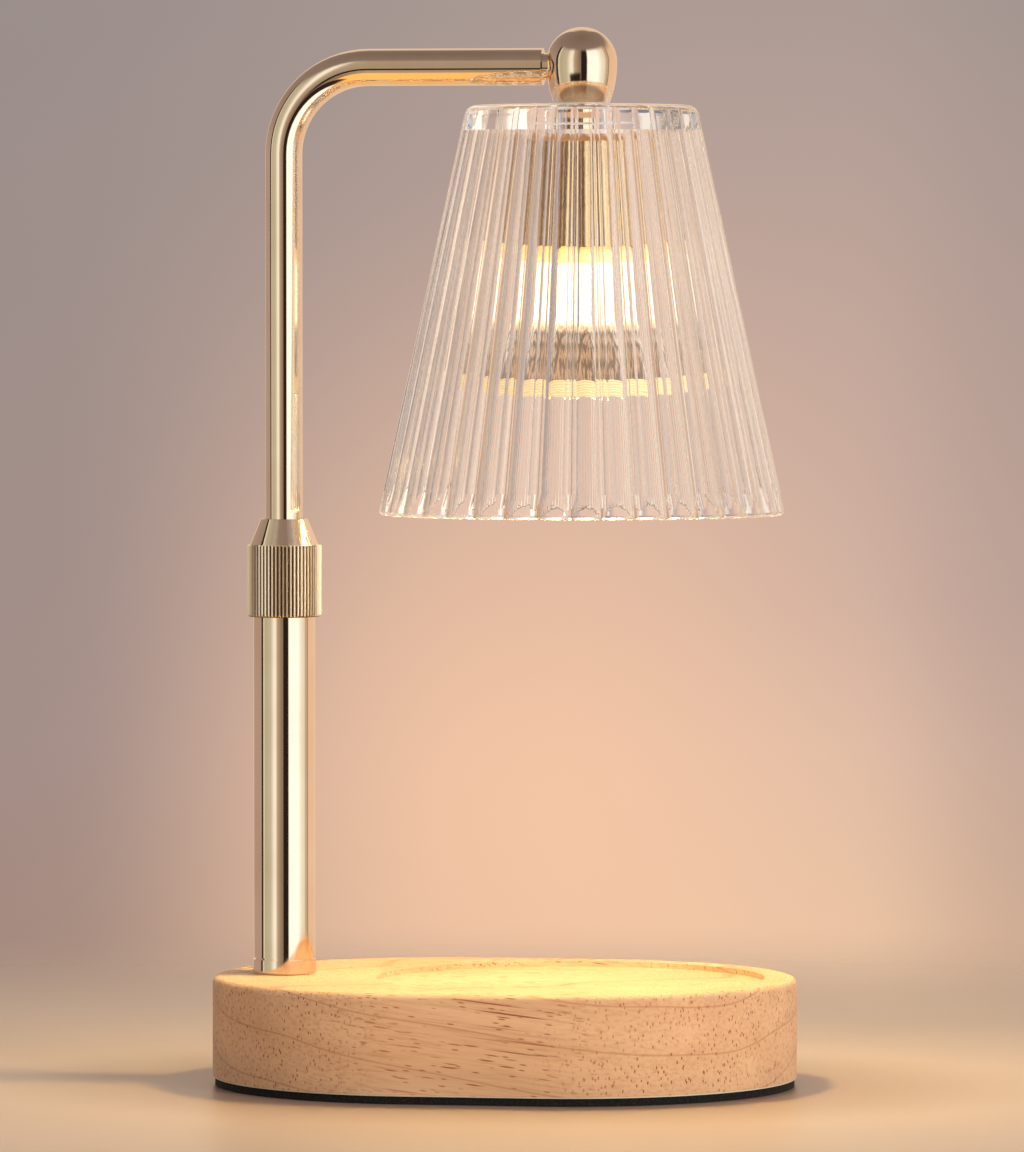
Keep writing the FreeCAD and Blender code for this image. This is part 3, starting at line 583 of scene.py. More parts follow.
@dataclass(frozen=True)
class AdhesiveFilm(Finish):
    """Pale greenish film between board and pad.

    Args:
        tone: its colour.
        dull: its colour where it is cloudy.
    """

    tone: Colour = (0.88, 0.92, 0.76)
    dull: Colour = (0.7, 0.75, 0.58)

    def shader(self, paint: Paint) -> Wire:
        """Make a slightly cloudy satin film."""
        cloud = paint.noise(paint.place(), 160.0, 3.0)
        return paint.principled(Base_Color=paint.blend(cloud, self.tone, self.dull),
                                Roughness=0.35 + 0.2 * cloud)


@dataclass(frozen=True)
class Moulding(Finish):
    """Moulded plastic or rubber with a fine satin texture.

    Args:
        tone: its colour.
        rough: its least roughness.
        grain: how fine its texture is.
        glow: painted glow that shines out of it, standing in for light passing through it.
    """

    tone: Colour
    rough: float = 0.42
    grain: float = 1400.0
    glow: Colour = NONE

    def shader(self, paint: Paint) -> Wire:
        """Make satin plastic with a spark-eroded grain."""
        texture = paint.noise(paint.place(), self.grain, 3.0)
        cloud = paint.noise(paint.place(), 60.0, 2.0)
        pale = tuple(min(1.0, part * 1.25 + 0.01) for part in self.tone)
        return paint.principled(Base_Color=paint.blend(cloud * 0.6, self.tone, pale),
                                Roughness=self.rough + 0.15 * texture,
                                Emission_Color=self.glow, Emission_Strength=1.0,
                                Normal=paint.bump(texture, 0.00003, 0.5))


@dataclass(frozen=True)
class PressedGlass(Finish):
    """Thick clear pressed glass with faint flow streaks down the flutes.

    Args:
        tint: its colour.
        through: what it leaves of a lamp's light.
        streak: how deep the flow streaks are, in metres.
        turns: how often a ray may turn back inside it before it goes straight out.
        crossings: how many surfaces a ray may meet before it goes straight out.
        index: how strongly it bends light.
    """

    tint: Colour = (0.995, 0.99, 0.98)
    through: Colour = (0.93, 0.92, 0.9)
    streak: float = 0.000002
    turns: float = 3.5
    crossings: float = 10.5
    index: float = 1.5

    def shader(self, paint: Paint) -> Wire:
        """Make clear glass that lets lamps through and holds no ray until it goes black."""
        flow = paint.noise(paint.place(scale=(1.0, 1.0, 0.1)), 260.0, 3.0, 0.6)
        seed = paint.noise(paint.place(), 700.0, 2.0).rise(0.62, 0.8)
        glass = paint.principled(
            Base_Color=self.tint, Transmission_Weight=1.0, IOR=self.index,
            Roughness=0.02 * seed,
            Normal=paint.bump(flow, self.streak, 0.5))
        lamp, turned, met = paint.ray("Is Shadow Ray", "Glossy Depth", "Ray Depth")
        spent = turned.above(self.turns).larger(met.above(self.crossings))
        bent = paint.either(spent, glass, paint.clear())
        return paint.either(lamp, bent, paint.clear(self.through))


@dataclass(frozen=True)
class LitGlass(Finish):
    """Bulb glass that glows, white-hot by the neck and silvery towards the front.

    Args:
        low: height of the front of the bulb.
        high: height where its neck enters the cap.
        power: how strongly it glows.
        silver: colour of its mirror coat.
        dark_mottle: colour of its darker mottled spots.
    """

    low: float = 0.0
    high: float = 1.0
    power: float = 1.8
    silver: Colour = (0.95, 0.95, 0.93)
    dark_mottle: Colour = (0.3, 0.29, 0.29)

    def shader(self, paint: Paint) -> Wire:
        """Make a silvered surface with a glow that rises with height."""
        glow = paint.ramp(paint.level(self.low, self.high), [
            (0.0, (0.06, 0.048, 0.032)), (0.4, (0.06, 0.048, 0.032)), (0.47, (0.6, 0.4, 0.2)),
            (0.53, (1.0, 0.84, 0.58)), (1.0, (1.0, 0.8, 0.48))])
        mottle = paint.noise(paint.place(scale=(1.0, 1.0, 0.45)), 420.0, 3.0)
        return paint.principled(
            Base_Color=paint.blend(mottle.rise(0.42, 0.58), self.silver, self.dark_mottle),
            Metallic=0.95,
            Roughness=0.06 + 0.1 * mottle,
            Emission_Color=glow,
            Emission_Strength=self.power,
            Normal=paint.bump(mottle, 0.0003, 0.5))


@dataclass(frozen=True)
class LitLens(Finish):
    """Front glass of the lit bulb: bright inside, with a pale ribbed rim.

    Args:
        centre: x of its middle.
        radius: its outer radius.
        power: how strongly it glows.
        ribs: how closely the rim's ribs lie, in radians per metre of height.
        crest: colour of the ribs.
        dip: colour between them.
    """

    centre: float = 0.0
    radius: float = 0.025
    power: float = 165.0
    ribs: float = 7200.0
    crest: Colour = (0.46, 0.34, 0.18)
    dip: Colour = (0.8, 0.7, 0.5)

    def shader(self, paint: Paint) -> Wire:
        """Make a glowing disc that falls off to its rim."""
        glow = paint.ramp(paint.reach(self.centre) / self.radius, [
            (0.0, (1.0, 0.8, 0.36)), (0.45, (1.0, 0.78, 0.34)), (0.86, (0.6, 0.42, 0.15)),
            (0.955, (0.006, 0.0045, 0.0023)), (1.0, (0.0041, 0.0032, 0.0017))])
        ribs = (paint.split(paint.place())[2] * self.ribs).sine()
        crest = ribs.rise(-1.0, 1.0)
        return paint.principled(
            Base_Color=paint.blend(crest, self.dip, self.crest),
            Roughness=0.12 + 0.05 * crest,
            Emission_Color=glow,
            Emission_Strength=self.power,
            Coat_Weight=0.5,
            Normal=paint.bump(ribs, 0.00008, 0.6))


@dataclass(frozen=True)
class Ceramic(Finish):
    """Off-white unglazed ceramic.

    Args:
        tone: its colour.
        spot: colour of its specks.
    """

    tone: Colour = (0.8, 0.77, 0.71)
    spot: Colour = (0.62, 0.57, 0.5)

    def shader(self, paint: Paint) -> Wire:
        """Make ceramic with faint specks."""
        speck = paint.noise(paint.place(), 800.0, 4.0)
        return paint.principled(
            Base_Color=paint.blend(speck.rise(0.55, 0.8), self.tone, self.spot),
            Roughness=0.55 + 0.2 * speck,
            Normal=paint.bump(speck, 0.00004, 0.6))


@dataclass(frozen=True)
class LitCeramic(Ceramic):
    """White ceramic that the bulb lights from inside, deep yellow by the glass.

    Args:
        low: height where the glow is strongest.
        high: height where it has faded.
        power: how strongly it glows.
    """

    tone: Colour = (0.82, 0.8, 0.75)
    spot: Colour = (0.68, 0.65, 0.59)
    low: float = 0.0
    high: float = 1.0
    power: float = 1.6

    def shader(self, paint: Paint) -> Wire:
        """Make glazed ceramic with a glow that fades upwards."""
        glow = paint.ramp(paint.level(self.low, self.high), [
            (0.0, (1.0, 0.62, 0.18)), (0.55, (0.75, 0.36, 0.07)), (1.0, NONE)])
        speck = paint.noise(paint.place(), 900.0, 3.0)
        return paint.principled(
            Base_Color=paint.blend(speck.rise(0.5, 0.75), self.tone, self.spot),
            Roughness=0.32 + 0.2 * speck,
            Emission_Color=glow, Emission_Strength=self.power,
            Normal=paint.bump(speck, 0.00003, 0.5))


@dataclass(frozen=True)
class Quartz(Finish):
    """Thin clear quartz, slightly hazy in places.

    Args:
        tint: its colour.
        through: what it leaves of a lamp's light.
        index: how strongly it bends light.
    """

    tint: Colour = (0.98, 0.98, 1.0)
    through: Colour = (0.97, 0.97, 0.97)
    index: float = 1.46

    def shader(self, paint: Paint) -> Wire:
        """Make clear quartz."""
        haze = paint.noise(paint.place(), 500.0, 2.0)
        glass = paint.principled(Base_Color=self.tint, Transmission_Weight=1.0, IOR=self.index,
                                 Roughness=0.01 + 0.05 * haze.rise(0.5, 0.9))
        lamp = paint.ray("Is Shadow Ray")[0]
        return paint.either(lamp, glass, paint.clear(self.through))


@dataclass(frozen=True)
class GlowingWire(Finish):
    """Tungsten wire at white heat.

    Args:
        power: how strongly it glows.
        metal: its own colour.
        hot: colour of its light.
        hotter: colour where it glows most.
    """

    power: float = 30.0
    metal: Colour = (0.5, 0.5, 0.52)
    hot: Colour = (1.0, 0.72, 0.38)
    hotter: Colour = (1.0, 0.88, 0.66)

    def shader(self, paint: Paint) -> Wire:
        """Make a wire that glows unevenly along its turns."""
        beat = paint.noise(paint.place(), 1500.0, 2.0)
        return paint.principled(Base_Color=self.metal, Metallic=1.0,
                                Roughness=0.3 + 0.2 * beat,
                                Emission_Color=paint.blend(beat, self.hot, self.hotter),
                                Emission_Strength=self.power)


@dataclass(frozen=True)
class FadingFloor(Finish):
    """Satin floor with a painted shadow round the board, clear towards its edge.

    Args:
        radius: how far the floor reaches.
        tone: its colour.
        shadow: its colour in the painted shadow.
        share: how much of that colour shows.
        board: the board's length over its depth.
    """

    radius: float = 0.75
    tone: Colour = (0.64, 0.48, 0.4)
    shadow: Colour = (0.2, 0.115, 0.08)
    share: float = 0.62
    board: float = 1.29

    def shader(self, paint: Paint) -> Wire:
        """Make the painted shadow oval like the board."""
        cloud = paint.noise(paint.place(), 9.0, 3.0)
        oval = paint.length(paint.place(scale=(1.0, self.board, 1.0)))
        # shaded is a painted shadow, darkest at the board and gone a little way out from it.
        shaded = (1.0 - oval.rise(0.1, 0.19)) * self.share
        matt = paint.principled(Base_Color=paint.blend(shaded, self.tone, self.shadow),
                                Roughness=0.3 + 0.08 * cloud)
        reach = paint.length(paint.place()) / self.radius
        return paint.either(reach.rise(0.25, 0.92), matt, paint.clear())


GOLD = Plating("champagne_plating", (0.95, 0.84, 0.71), (0.9, 0.77, 0.62))
ROSE = Plating("warm_cup_plating", (0.88, 0.71, 0.51), (0.8, 0.61, 0.42), 0.02, 0.03)
BRASS = TurnedMetal("turned_brass_metal", (0.8, 0.6, 0.3))
STEEL = TurnedMetal("zinc_plated_steel", (0.66, 0.67, 0.68))
WOOD = Rubberwood("oiled_rubberwood")
FOAM = FoamPad("black_foam")
FILM = AdhesiveFilm("pad_adhesive")
NYLON = Moulding("white_nylon_moulding", (0.72, 0.71, 0.68), 0.4)
BUSHING = Moulding("black_bush_moulding", (0.022, 0.022, 0.023), 0.45)
# The washers carry a painted glow, standing in for the bulb's light passing through them.
SILICONE = Moulding("lit_silicone_rubber", (0.74, 0.73, 0.71), 0.3, 900.0, (0.25, 0.215, 0.205))
GLASS = PressedGlass("pressed_clear_glass")
CERAMIC = Ceramic("holder_ceramic")
QUARTZ = Quartz("quartz_tube")
WIRE = GlowingWire("glowing_tungsten")
FLOOR = FadingFloor("pale_floor")


# ---- pieces


def dress(node: str, finish: Finish) -> None:
    """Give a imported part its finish.

    Args:
        node: the part's name.
        finish: what it is made of.
    """
    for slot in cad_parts[node].material_slots:
        slot.material = finish.material()
    log.info("dressed %s in %s", node, finish.name)


def add_piece(name: str, shape: bmesh.types.BMesh, finish: Finish, body: Body,
              smooth: bool = True) -> bpy.types.Object:
    """Turn a finished bmesh into a piece that rides on a body.

    Args:
        name: the piece's name.
        shape: the mesh, in place, which is freed.
        finish: what it is made of.
        body: what it moves with.
        smooth: whether its faces are shaded smooth.

    Returns:
        The new object.
    """
    bmesh.ops.remove_doubles(shape, verts=shape.verts, dist=TINY)
    bmesh.ops.recalc_face_normals(shape, faces=shape.faces)
    for face in shape.faces:
        face.smooth = smooth
    mesh = bpy.data.meshes.new(name)
    shape.to_mesh(mesh)
    shape.free()
    mesh.materials.append(finish.material())
    piece = bpy.data.objects.new(name, mesh)
    bpy.context.scene.collection.objects.link(piece)
    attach(piece, body.value)
    log.info("made %s: %d faces", name, len(mesh.polygons))
    return piece


@dataclass
class Assembly:
    """Parts that belong together.

    Args:
        finishes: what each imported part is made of.
    """

    finishes: dict[str, Finish] = field(default_factory=dict)

    def build(self) -> None:
        """Dress the parts."""
        for node, finish in self.finishes.items():
            dress(node, finish)


@dataclass
class BaseAssembly(Assembly):
    """The board with its pad, film, inlet bush and hidden fixings."""

    finishes: dict[str, Finish] = field(default_factory=lambda: {
        "wooden_base": WOOD, "base_pad": FOAM, "adhesive_film": FILM, "cord_grommet": BUSHING,
        "base_washer": STEEL, "base_nut": STEEL, "base_stud": STEEL})


@dataclass
class PoleAssembly(Assembly):
    """The foot ring, the fixed tube and what grips the arm at its top.

    Args:
        groove: depth of the knurl's grooves.
        knurl_share: how much of the collar's height is knurled.
    """

    finishes: dict[str, Finish] = field(default_factory=lambda: {
        "foot_ring": GOLD, "lower_tube": GOLD, "thread_bush": BRASS, "collet": NYLON,
        "guide_bush": NYLON})
    groove: float = 0.65 * MM
    knurl_share: float = 0.736

    def build(self) -> None:
        """Dress the parts, the collar by its own size."""
        super().build()
        low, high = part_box("lock_collar")
        rib = (high.y - low.y) / 2
        dress("lock_collar", KnurledPlating(
            "knurled_plating", GOLD.tint, GOLD.smeared, centre=(low.x + high.x) / 2,
            valley=rib - self.groove, ridge=rib,
            top=low.z + (high.z - low.z) * self.knurl_share))


@dataclass
class ArmAssembly(Assembly):
    """The bent tube, the ball and the stop rings inside the pole."""

    finishes: dict[str, Finish] = field(default_factory=lambda: {
        "arm_tube": GOLD, "ball": GOLD, "stop_ring": STEEL, "end_ring": STEEL,
        "head_nipple": GOLD})


@dataclass
class ShadeAssembly(Assembly):
    """The glass shade, its soft washers, the cup and the lamp holder."""

    finishes: dict[str, Finish] = field(default_factory=lambda: {
        "glass_shade": GLASS, "upper_gasket": SILICONE, "lower_gasket": SILICONE,
        "socket_cup": ROSE, "socket_bracket": STEEL, "nipple_washer": STEEL,
        "nipple_nut": BRASS, "lamp_holder": CERAMIC, "bracket_screws": STEEL,
        "socket_contacts": BRASS})


@dataclass
class BulbAssembly(Assembly):
    """The lit reflector bulb with its facets and filament coil.

    Args:
        facets: how many facets go round the bell.
        rows: how many rows of facets it has.
        glass_wall: how thick its glass is.
        neck_radius: radius of its neck.
        neck_length: how far the neck reaches down from the top.
        bell_curve: radius of its curve from top to bottom.
        cap_glow: how far below the bell's top the cap's glow starts.
        coil_turns: how many turns the filament has.
        coil_steps: how many corners a turn has.
        coil_wire: radius of its wire.
        coil_length: height of the coil.
        lead: radius of the rod that holds the coil.
    """

    finishes: dict[str, Finish] = field(default_factory=lambda: {
        "bulb_pins": STEEL, "bulb_capsule": QUARTZ})
    facets: int = 40
    rows: int = 7
    glass_wall: float = 1.3 * MM
    neck_radius: float = 12.0 * MM
    neck_length: float = 18.0 * MM
    bell_curve: float = 34.0 * MM
    cap_glow: float = 2.0 * MM
    coil_turns: float = 9.0
    coil_steps: int = 20
    coil_wire: float = 0.16 * MM
    coil_length: float = 7.0 * MM
    lead: float = 0.3 * MM

    def build(self) -> None:
        """Dress the parts and make the finer ones."""
        super().build()
        lens_low, lens_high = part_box("bulb_lens")
        _, cap_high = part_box("bulb_cap")
        bell_low, bell_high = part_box("bulb_reflector")
        middle = (bell_low + bell_high) / 2
        dress("bulb_cap", LitCeramic("lit_cap_ceramic", low=bell_high.z - self.cap_glow,
                                     high=cap_high.z))
        dress("bulb_lens", LitLens("lit_front_glass", centre=(lens_low.x + lens_high.x) / 2,
                                   radius=(bell_high.x - bell_low.x) / 2))
        silvered = LitGlass("lit_faceted_glass", low=bell_low.z, high=bell_high.z)
        self.reflector(bell_low, bell_high, middle, silvered)
        self.coil()

    def reflector(self, low: Vector, high: Vector, middle: Vector, finish: Finish) -> None:
        """Make the faceted bell of the reflector.

        Args:
            low: lowest corner of the plain bell.
            high: its highest corner.
            middle: the middle of the two.
            finish: the glass.
        """
        foot = Vector(((high.x - low.x) / 2, low.z))
        knee = Vector((self.neck_radius, high.z - self.neck_length))
        half = (knee - foot) / 2
        outward = Vector((half.y, -half.x)).normalized()
        hub = (foot + knee) / 2 - outward * math.sqrt(self.bell_curve ** 2 - half.length_squared)
        spread = (foot - hub).angle_signed(knee - hub)
        shape = bmesh.new()
        points = []
        for step in range(self.rows + 1):
            ray = foot - hub
            ray.rotate(Matrix.Rotation(-spread * step / self.rows, 2))
            points.append(tuple(hub + ray))
        points.append((self.neck_radius, high.z))
        outline = [shape.verts.new((middle.x + radius, middle.y, z)) for radius, z in points]
        inner = [shape.verts.new((middle.x + radius - self.glass_wall, middle.y, z))
                 for radius, z in reversed(points)]
        ring = outline + inner
        edges = [shape.edges.new((ring[index], ring[(index + 1) % len(ring)]))
                 for index in range(len(ring))]
        bmesh.ops.spin(shape, geom=ring + edges, cent=middle, axis=UP, dvec=(0, 0, 0),
                       angle=math.tau, steps=self.facets, use_merge=True)
        turn = Matrix.Rotation(math.pi / self.facets, 3, "Z")
        for _, z in points[1:self.rows:2]:
            row = [vert for vert in shape.verts if abs(vert.co.z - z) < TINY]
            bmesh.ops.rotate(shape, verts=row, cent=middle, matrix=turn)
        bmesh.ops.triangulate(shape, faces=shape.faces)
        piece = add_piece("reflector_bell", shape, finish, Body.BULB, smooth=False)
        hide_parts("bulb_reflector")

    def coil(self) -> None:
        """Make the filament: a coil below the rod that holds it."""
        low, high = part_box("bulb_filament")
        middle = (low + high) / 2
        radius = (high.x - low.x) / 2 - self.coil_wire
        shape = bmesh.new()
        section = bmesh.ops.create_circle(shape, segments=6, radius=self.coil_wire)["verts"]
        turned = Matrix.Rotation(math.pi / 2, 3, "X")
        bmesh.ops.rotate(shape, verts=section, cent=(0, 0, 0), matrix=turned)
        start = Vector((middle.x + radius, middle.y, low.z + self.coil_wire))
        bmesh.ops.translate(shape, verts=section, vec=start)
        steps = int(self.coil_turns * self.coil_steps)
        climb = (self.coil_length - 2 * self.coil_wire) / steps
        swept = bmesh.ops.spin(shape, geom=section + list(shape.edges), cent=middle, axis=UP,
                               dvec=(0, 0, climb), angle=self.coil_turns * math.tau,
                               steps=steps)
        last = [item for item in swept["geom_last"] if isinstance(item, bmesh.types.BMVert)]
        lead = bmesh.ops.create_cone(shape, cap_ends=True, segments=8, radius1=self.lead,
                                     radius2=self.lead,
                                     depth=high.z - low.z - self.coil_length)
        bmesh.ops.translate(shape, verts=lead["verts"], vec=(
            middle.x, middle.y, (high.z + low.z + self.coil_length) / 2))
        bmesh.ops.contextual_create(shape, geom=last)
        piece = add_piece("filament_coil", shape, WIRE, Body.BULB)
        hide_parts("bulb_filament")


# ---- studio


@dataclass
class Panorama:
    """What lies round the lamp in each direction.

    Args:
        paint: the world's node helper.
        across: how far a direction points to the right.
        side: the same as an angle in degrees from the camera's direction.
        climb: its height in degrees.
    """

    paint: Paint
    across: Wire
    side: Wire
    climb: Wire

    def backdrop(self) -> Wire:
        """Make the plain wall, with a painted warm glow of the lamp's light on it towards the
        right.

        Returns:
            The colour.
        """
        paint, across, climb = self.paint, self.across, self.climb
        height = (climb + 7.0) / 10.0
        cool = paint.ramp(height, [
            (0.0, (0.6, 0.4, 0.28)), (0.135, (0.53, 0.335, 0.23)), (0.2, (0.38, 0.25, 0.2)),
            (0.38, (0.37, 0.27, 0.245)), (0.89, (0.33, 0.275, 0.26))])
        warm = paint.ramp(height, [
            (0.0, (0.92, 0.68, 0.44)), (0.15, (0.9, 0.63, 0.385)), (0.21, (0.845, 0.56, 0.365)),
            (0.38, (0.735, 0.5, 0.38)), (0.48, (0.63, 0.435, 0.355)),
            (0.69, (0.53, 0.38, 0.325)), (0.89, (0.42, 0.33, 0.3))])
        # The warm ramp towards the right and the orange patch are painted light: the lamp's glow
        # on the wall.
        orange = (0.96, 0.59, 0.38)
        painted_warm_light = across.rise(-0.064, 0.026) * (1.0 - 0.45 * across.rise(0.04, 0.066))
        glow = across.band(-0.027, 0.03, 0.026) * climb.band(-5.6, -1.4, 2.4)
        return paint.blend(glow * 0.75, paint.blend(painted_warm_light, cool, warm), orange)

    def mirrored(self) -> Wire:
        """Make the light boxes, dark gaps and painted glow reflections that polished metal
        shows.

        Returns:
            The colour.
        """
        paint, side, climb = self.paint, self.side, self.climb
        black, painted_glow_reflection = (0.015, 0.009, 0.006), (1.3, 0.66, 0.19)
        skin, sand = (0.86, 0.6, 0.42), (0.84, 0.64, 0.46)
        # The wall's lowest stops are orange, a painted reflection of the lamp's warm glow from
        # below.
        wall = paint.ramp((climb + HALF_TURN / 2) / HALF_TURN, [
            (0.0, (0.95, 0.56, 0.22)), (0.26, (0.9, 0.54, 0.24)), (0.34, (0.52, 0.36, 0.26)),
            (0.52, (0.44, 0.32, 0.26)), (0.72, (0.28, 0.21, 0.175)), (1.0, (0.2, 0.15, 0.125))])
        level = climb.band(-58.0, 38.0, 7.0)
        left = paint.ramp((side + 84.0) / 78.0, [
            (0.0, (0.9, 0.84, 0.68)), (0.1, (0.52, 0.46, 0.33)), (0.42, (0.6, 0.55, 0.42)),
            (0.6, (1.05, 1.0, 0.86)), (0.68, (1.0, 0.93, 0.8)), (0.76, (0.5, 0.4, 0.29)),
            (1.0, (0.26, 0.18, 0.12))])
        right = paint.ramp((side - 14.0) / 86.0, [
            (0.0, (1.2, 1.18, 1.1)), (0.45, (1.3, 1.28, 1.2)), (0.62, (0.98, 0.93, 0.8)),
            (0.8, (0.85, 0.76, 0.6)), (0.84, (0.62, 0.5, 0.36)), (0.95, (0.56, 0.42, 0.28)),
            (1.0, (0.2, 0.11, 0.05))])
        peach = side.rise(98.0, 104.0) * climb.band(-60.0, 30.0, 10.0)
        rim = side.size().rise(158.0, 164.0) * climb.band(-40.0, 50.0, 10.0)
        panels = paint.blend(peach, wall, skin)
        panels = paint.blend(rim, panels, sand)
        panels = paint.blend(side.band(-85.0, -5.0, 1.5) * level, panels, left)
        panels = paint.blend(side.band(16.0, 100.0, 1.5) * level, panels, right)
        gap = side.band(-94.0, -85.0, 1.5).larger(side.band(-3.5, 17.0, 2.0)) * level
        strip = side.band(-42.0, -4.0, 5.0) * climb.band(-19.0, -9.5, 1.5)
        # lit marks a painted reflection: the warm glow of the lit board and shade that the
        # metal's undersides show.
        lit = side.band(-60.0, 6.0, 8.0) * (1.0 - climb.rise(-40.0, -33.0))
        panels = paint.blend(lit, panels, painted_glow_reflection)
        return paint.blend(gap.larger(strip) * 0.98, panels, black)

    def bent(self) -> Wire:
        """Make the bright surroundings that the glass flutes bend into view.

        Returns:
            The colour.
        """
        paint, side, climb = self.paint, self.side, self.climb
        pink, bright, blue = (0.76, 0.57, 0.465), (1.45, 1.24, 1.04), (0.42, 0.5, 0.68)
        dusk, wall, clay = (0.46, 0.33, 0.27), (0.81, 0.56, 0.435), (0.6, 0.45, 0.38)
        tan, brown, cream = (0.62, 0.34, 0.18), (0.075, 0.028, 0.01), (1.5, 1.4, 1.14)
        night, day, amber = (0.15, 0.17, 0.24), (1.25, 1.02, 0.82), (0.8, 0.36, 0.11)
        behind = paint.ramp(1.0 - side.size() / HALF_TURN, [
            (0.0, wall), (0.1, wall), (0.115, bright), (0.145, bright),
            (0.16, pink), (0.2, dusk), (0.245, dusk), (0.26, bright),
            (0.3, bright), (0.315, clay), (0.345, blue), (0.41, blue),
            (0.42, bright), (0.45, bright), (0.47, pink)])
        high = climb.rise(0.0, 1.5)
        shade = side.band(-168.0, -84.0, 4.0) * (0.38 + 0.57 * high)
        behind = paint.blend(shade, behind, night)
        behind = paint.blend(side.band(110.0, 140.0, 4.0) * high * 0.5, behind, day)
        boxes = side.band(-47.0, -39.0, 1.0).larger(side.band(6.0, 82.0, 2.0))
        boxes = boxes * (1.0 - side.band(46.0, 53.0, 1.0))
        ahead = paint.blend(climb.band(-7.0, 14.0, 2.0), (0.72, 0.5, 0.37),
                            paint.blend(boxes, brown, cream))
        ahead = paint.blend(side.size().rise(84.0, 100.0), ahead, tan)
        front = side.band(-106.0, 106.0, 3.0)
        around = paint.blend(front, behind, ahead)
        above = paint.blend(front, (0.96, 0.8, 0.7), (0.55, 0.25, 0.11))
        below = paint.blend(front, (0.62, 0.36, 0.17), (0.26, 0.12, 0.05))
        around = paint.blend(climb.rise(10.0, 26.0) * 0.85, around, above)
        around = paint.blend((1.0 - climb.rise(-32.0, -14.0)) * 0.75, around, below)
        # under is a painted reflection: the orange band of the lit shade's glow that the ball's
        # underside shows.
        under = paint.blend(climb.rise(-23.0, -20.0), (0.13, 0.05, 0.014), (1.05, 0.53, 0.18))
        around = paint.blend(front * (1.0 - climb.rise(-14.0, -11.0)), around, under)
        return paint.blend(1.0 - climb.rise(-56.0, -44.0), around, amber)


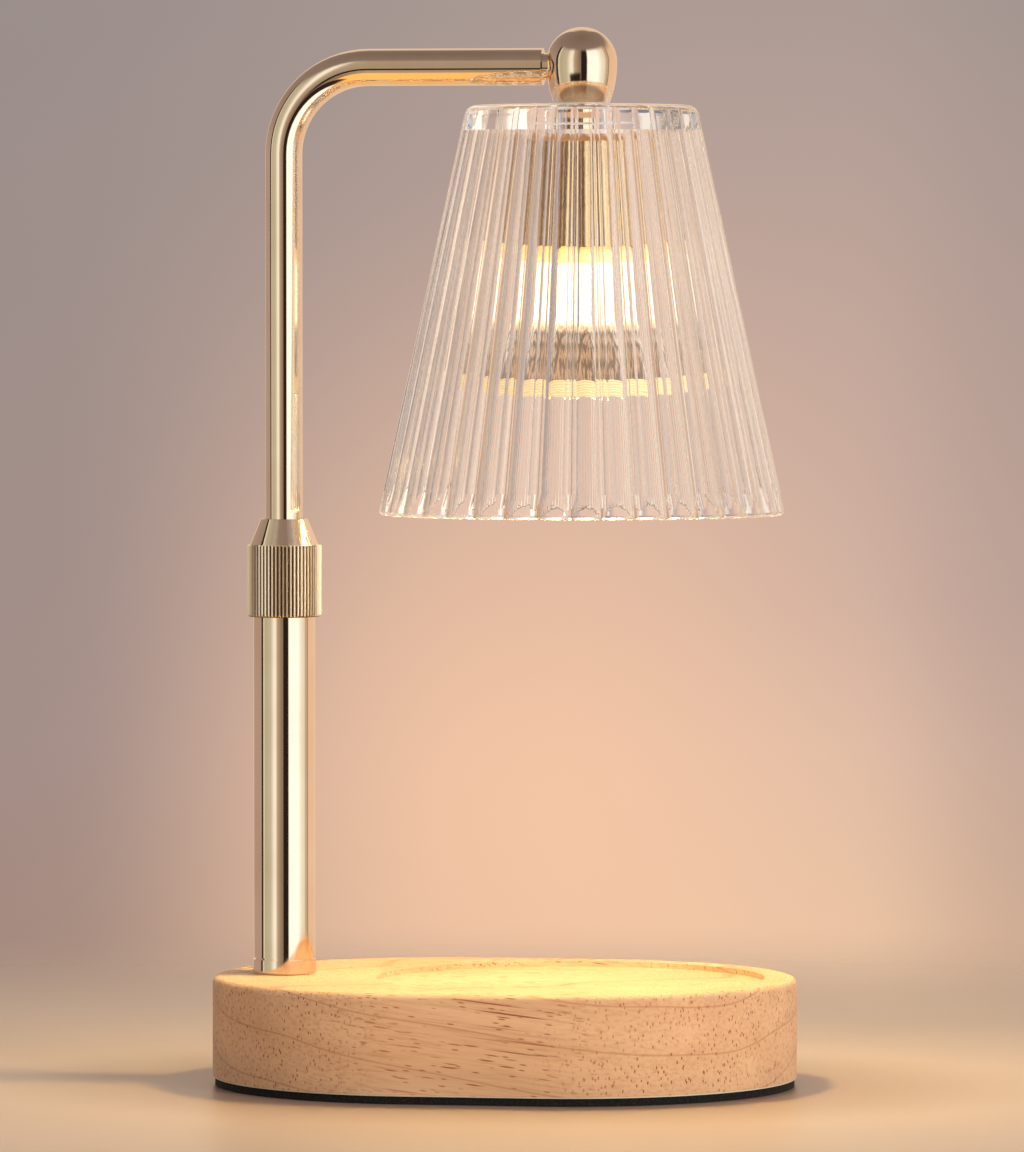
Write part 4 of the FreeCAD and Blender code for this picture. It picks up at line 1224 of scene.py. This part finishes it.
@dataclass
class Studio:
    """Camera, floor, lamps and the surroundings that the metal reflects.

    Args:
        eye_height: height of the camera.
        distance: how far it stands from the frame's upright axis.
        azimuth: how far it stands to the right of the lamp's front, in degrees.
        lens: its focal length in millimetres.
        frame_height: rows of pixels in the frame.
        focal_pixels: the focal length in pixels.
        horizon_row: row of pixels that lies at the camera's height.
        base_column: how far the axis stands from the frame's middle, in pixels.
        aim_height: height that the lamps point at.
        ambient: strength of the light from all round.
        ambient_tone: its colour.
    """

    eye_height: float = 0.258
    distance: float = 2.663
    azimuth: float = 9.0
    lens: float = 257.2
    frame_height: int = 1152
    focal_pixels: float = 8230.0
    horizon_row: float = 288.0
    base_column: float = -7.5
    aim_height: float = 0.12
    ambient: float = 0.36
    ambient_tone: Colour = (1.0, 0.94, 0.88)

    def build(self) -> None:
        """Set up everything round the lamp."""
        bpy.context.scene.view_settings.view_transform = "Standard"
        self.camera()
        self.floor()
        self.surroundings()
        self.lamps()

    def outward(self) -> Vector:
        """Give the level direction from the lamp to the camera."""
        turn = math.radians(self.azimuth)
        return Vector((math.sin(turn), -math.cos(turn), 0.0))

    def camera(self) -> None:
        """Place the camera at the eye's height, a little above the lamp's middle."""
        data = bpy.data.cameras.new("camera")
        data.lens = self.lens
        data.sensor_width = 36.0
        data.clip_start, data.clip_end = 0.1, 30.0
        camera = bpy.data.objects.new("camera", data)
        bpy.context.scene.collection.objects.link(camera)
        camera.location = self.outward() * self.distance + Vector((0, 0, self.eye_height))
        tilt = math.atan((self.frame_height / 2 - self.horizon_row) / self.focal_pixels)
        turn = math.radians(self.azimuth) + math.atan(self.base_column / self.focal_pixels)
        camera.rotation_euler = (math.pi / 2 - tilt, 0.0, turn)
        bpy.context.scene.camera = camera

    def floor(self) -> None:
        """Lay the disc of floor that the lamp stands on."""
        shape = bmesh.new()
        bmesh.ops.create_circle(shape, cap_ends=True, segments=96, radius=FLOOR.radius)
        mesh = bpy.data.meshes.new("floor")
        shape.to_mesh(mesh)
        shape.free()
        mesh.materials.append(FLOOR.material())
        floor = bpy.data.objects.new("floor", mesh)
        bpy.context.scene.collection.objects.link(floor)
        floor.visible_glossy = False

    def surroundings(self) -> None:
        """Make the world, which eye, metal and glass each see in their own way."""
        world = bpy.data.worlds.new("studio")
        bpy.context.scene.world = world
        world.use_nodes = True
        paint = Paint(world.node_tree)
        where = paint.node("ShaderNodeTexCoord", {}, {}, "Generated")
        turned = paint.node("ShaderNodeMapping", {},
                            {"Vector": where, "Rotation": (0, 0, -math.radians(self.azimuth))})
        across, away, up = paint.split(turned)
        view = Panorama(paint, across, across.angle_to(away * -1.0) * DEGREES,
                        up.arcsine() * DEGREES)
        seen = paint.background(self.ambient_tone, self.ambient)
        rays = paint.ray("Is Camera Ray", "Is Glossy Ray", "Is Transmission Ray")
        for share, colour in zip(rays, (view.backdrop(), view.mirrored(), view.bent())):
            seen = paint.either(share, seen, paint.background(colour))
        paint.show(seen, "ShaderNodeOutputWorld")

    def lamp(self, name: str, side: float, climb: float, away: float, size: float,
             power: float, colour: Colour) -> None:
        """Hang a soft lamp that metal doesn't mirror.

        Args:
            name: its name.
            side: its direction from the camera's, in degrees to the right.
            climb: its height above the level, in degrees.
            away: how far off it hangs.
            size: the length of its side.
            power: its power in watts.
            colour: its light.
        """
        data = bpy.data.lights.new(name, "AREA")
        data.energy, data.size, data.color = power, size, colour
        lamp = bpy.data.objects.new(name, data)
        bpy.context.scene.collection.objects.link(lamp)
        turn = math.radians(self.azimuth + side)
        rise = math.radians(climb)
        way = Vector((math.sin(turn) * math.cos(rise), -math.cos(turn) * math.cos(rise),
                      math.sin(rise)))
        lamp.location = way * away + Vector((0, 0, self.aim_height))
        lamp.rotation_euler = way.to_track_quat("Z", "Y").to_euler()
        lamp.visible_glossy = False
        lamp.visible_transmission = False

    def lamps(self) -> None:
        """Hang the key lamp in front on the right and a weak one overhead."""
        self.lamp("key", 38.0, 14.0, 1.6, 0.55, 14.0, (1.0, 0.93, 0.84))
        self.lamp("top", 10.0, 75.0, 1.4, 0.8, 1.5, (1.0, 0.96, 0.92))


def main() -> None:
    """Build the lamp's looks and the studio round it."""
    logging.basicConfig(level=logging.INFO, format="%(name)s: %(message)s")
    Studio().build()
    for kind in (BaseAssembly, PoleAssembly, ArmAssembly, ShadeAssembly, BulbAssembly):
        kind().build()


if __name__ == "__main__":
    main()
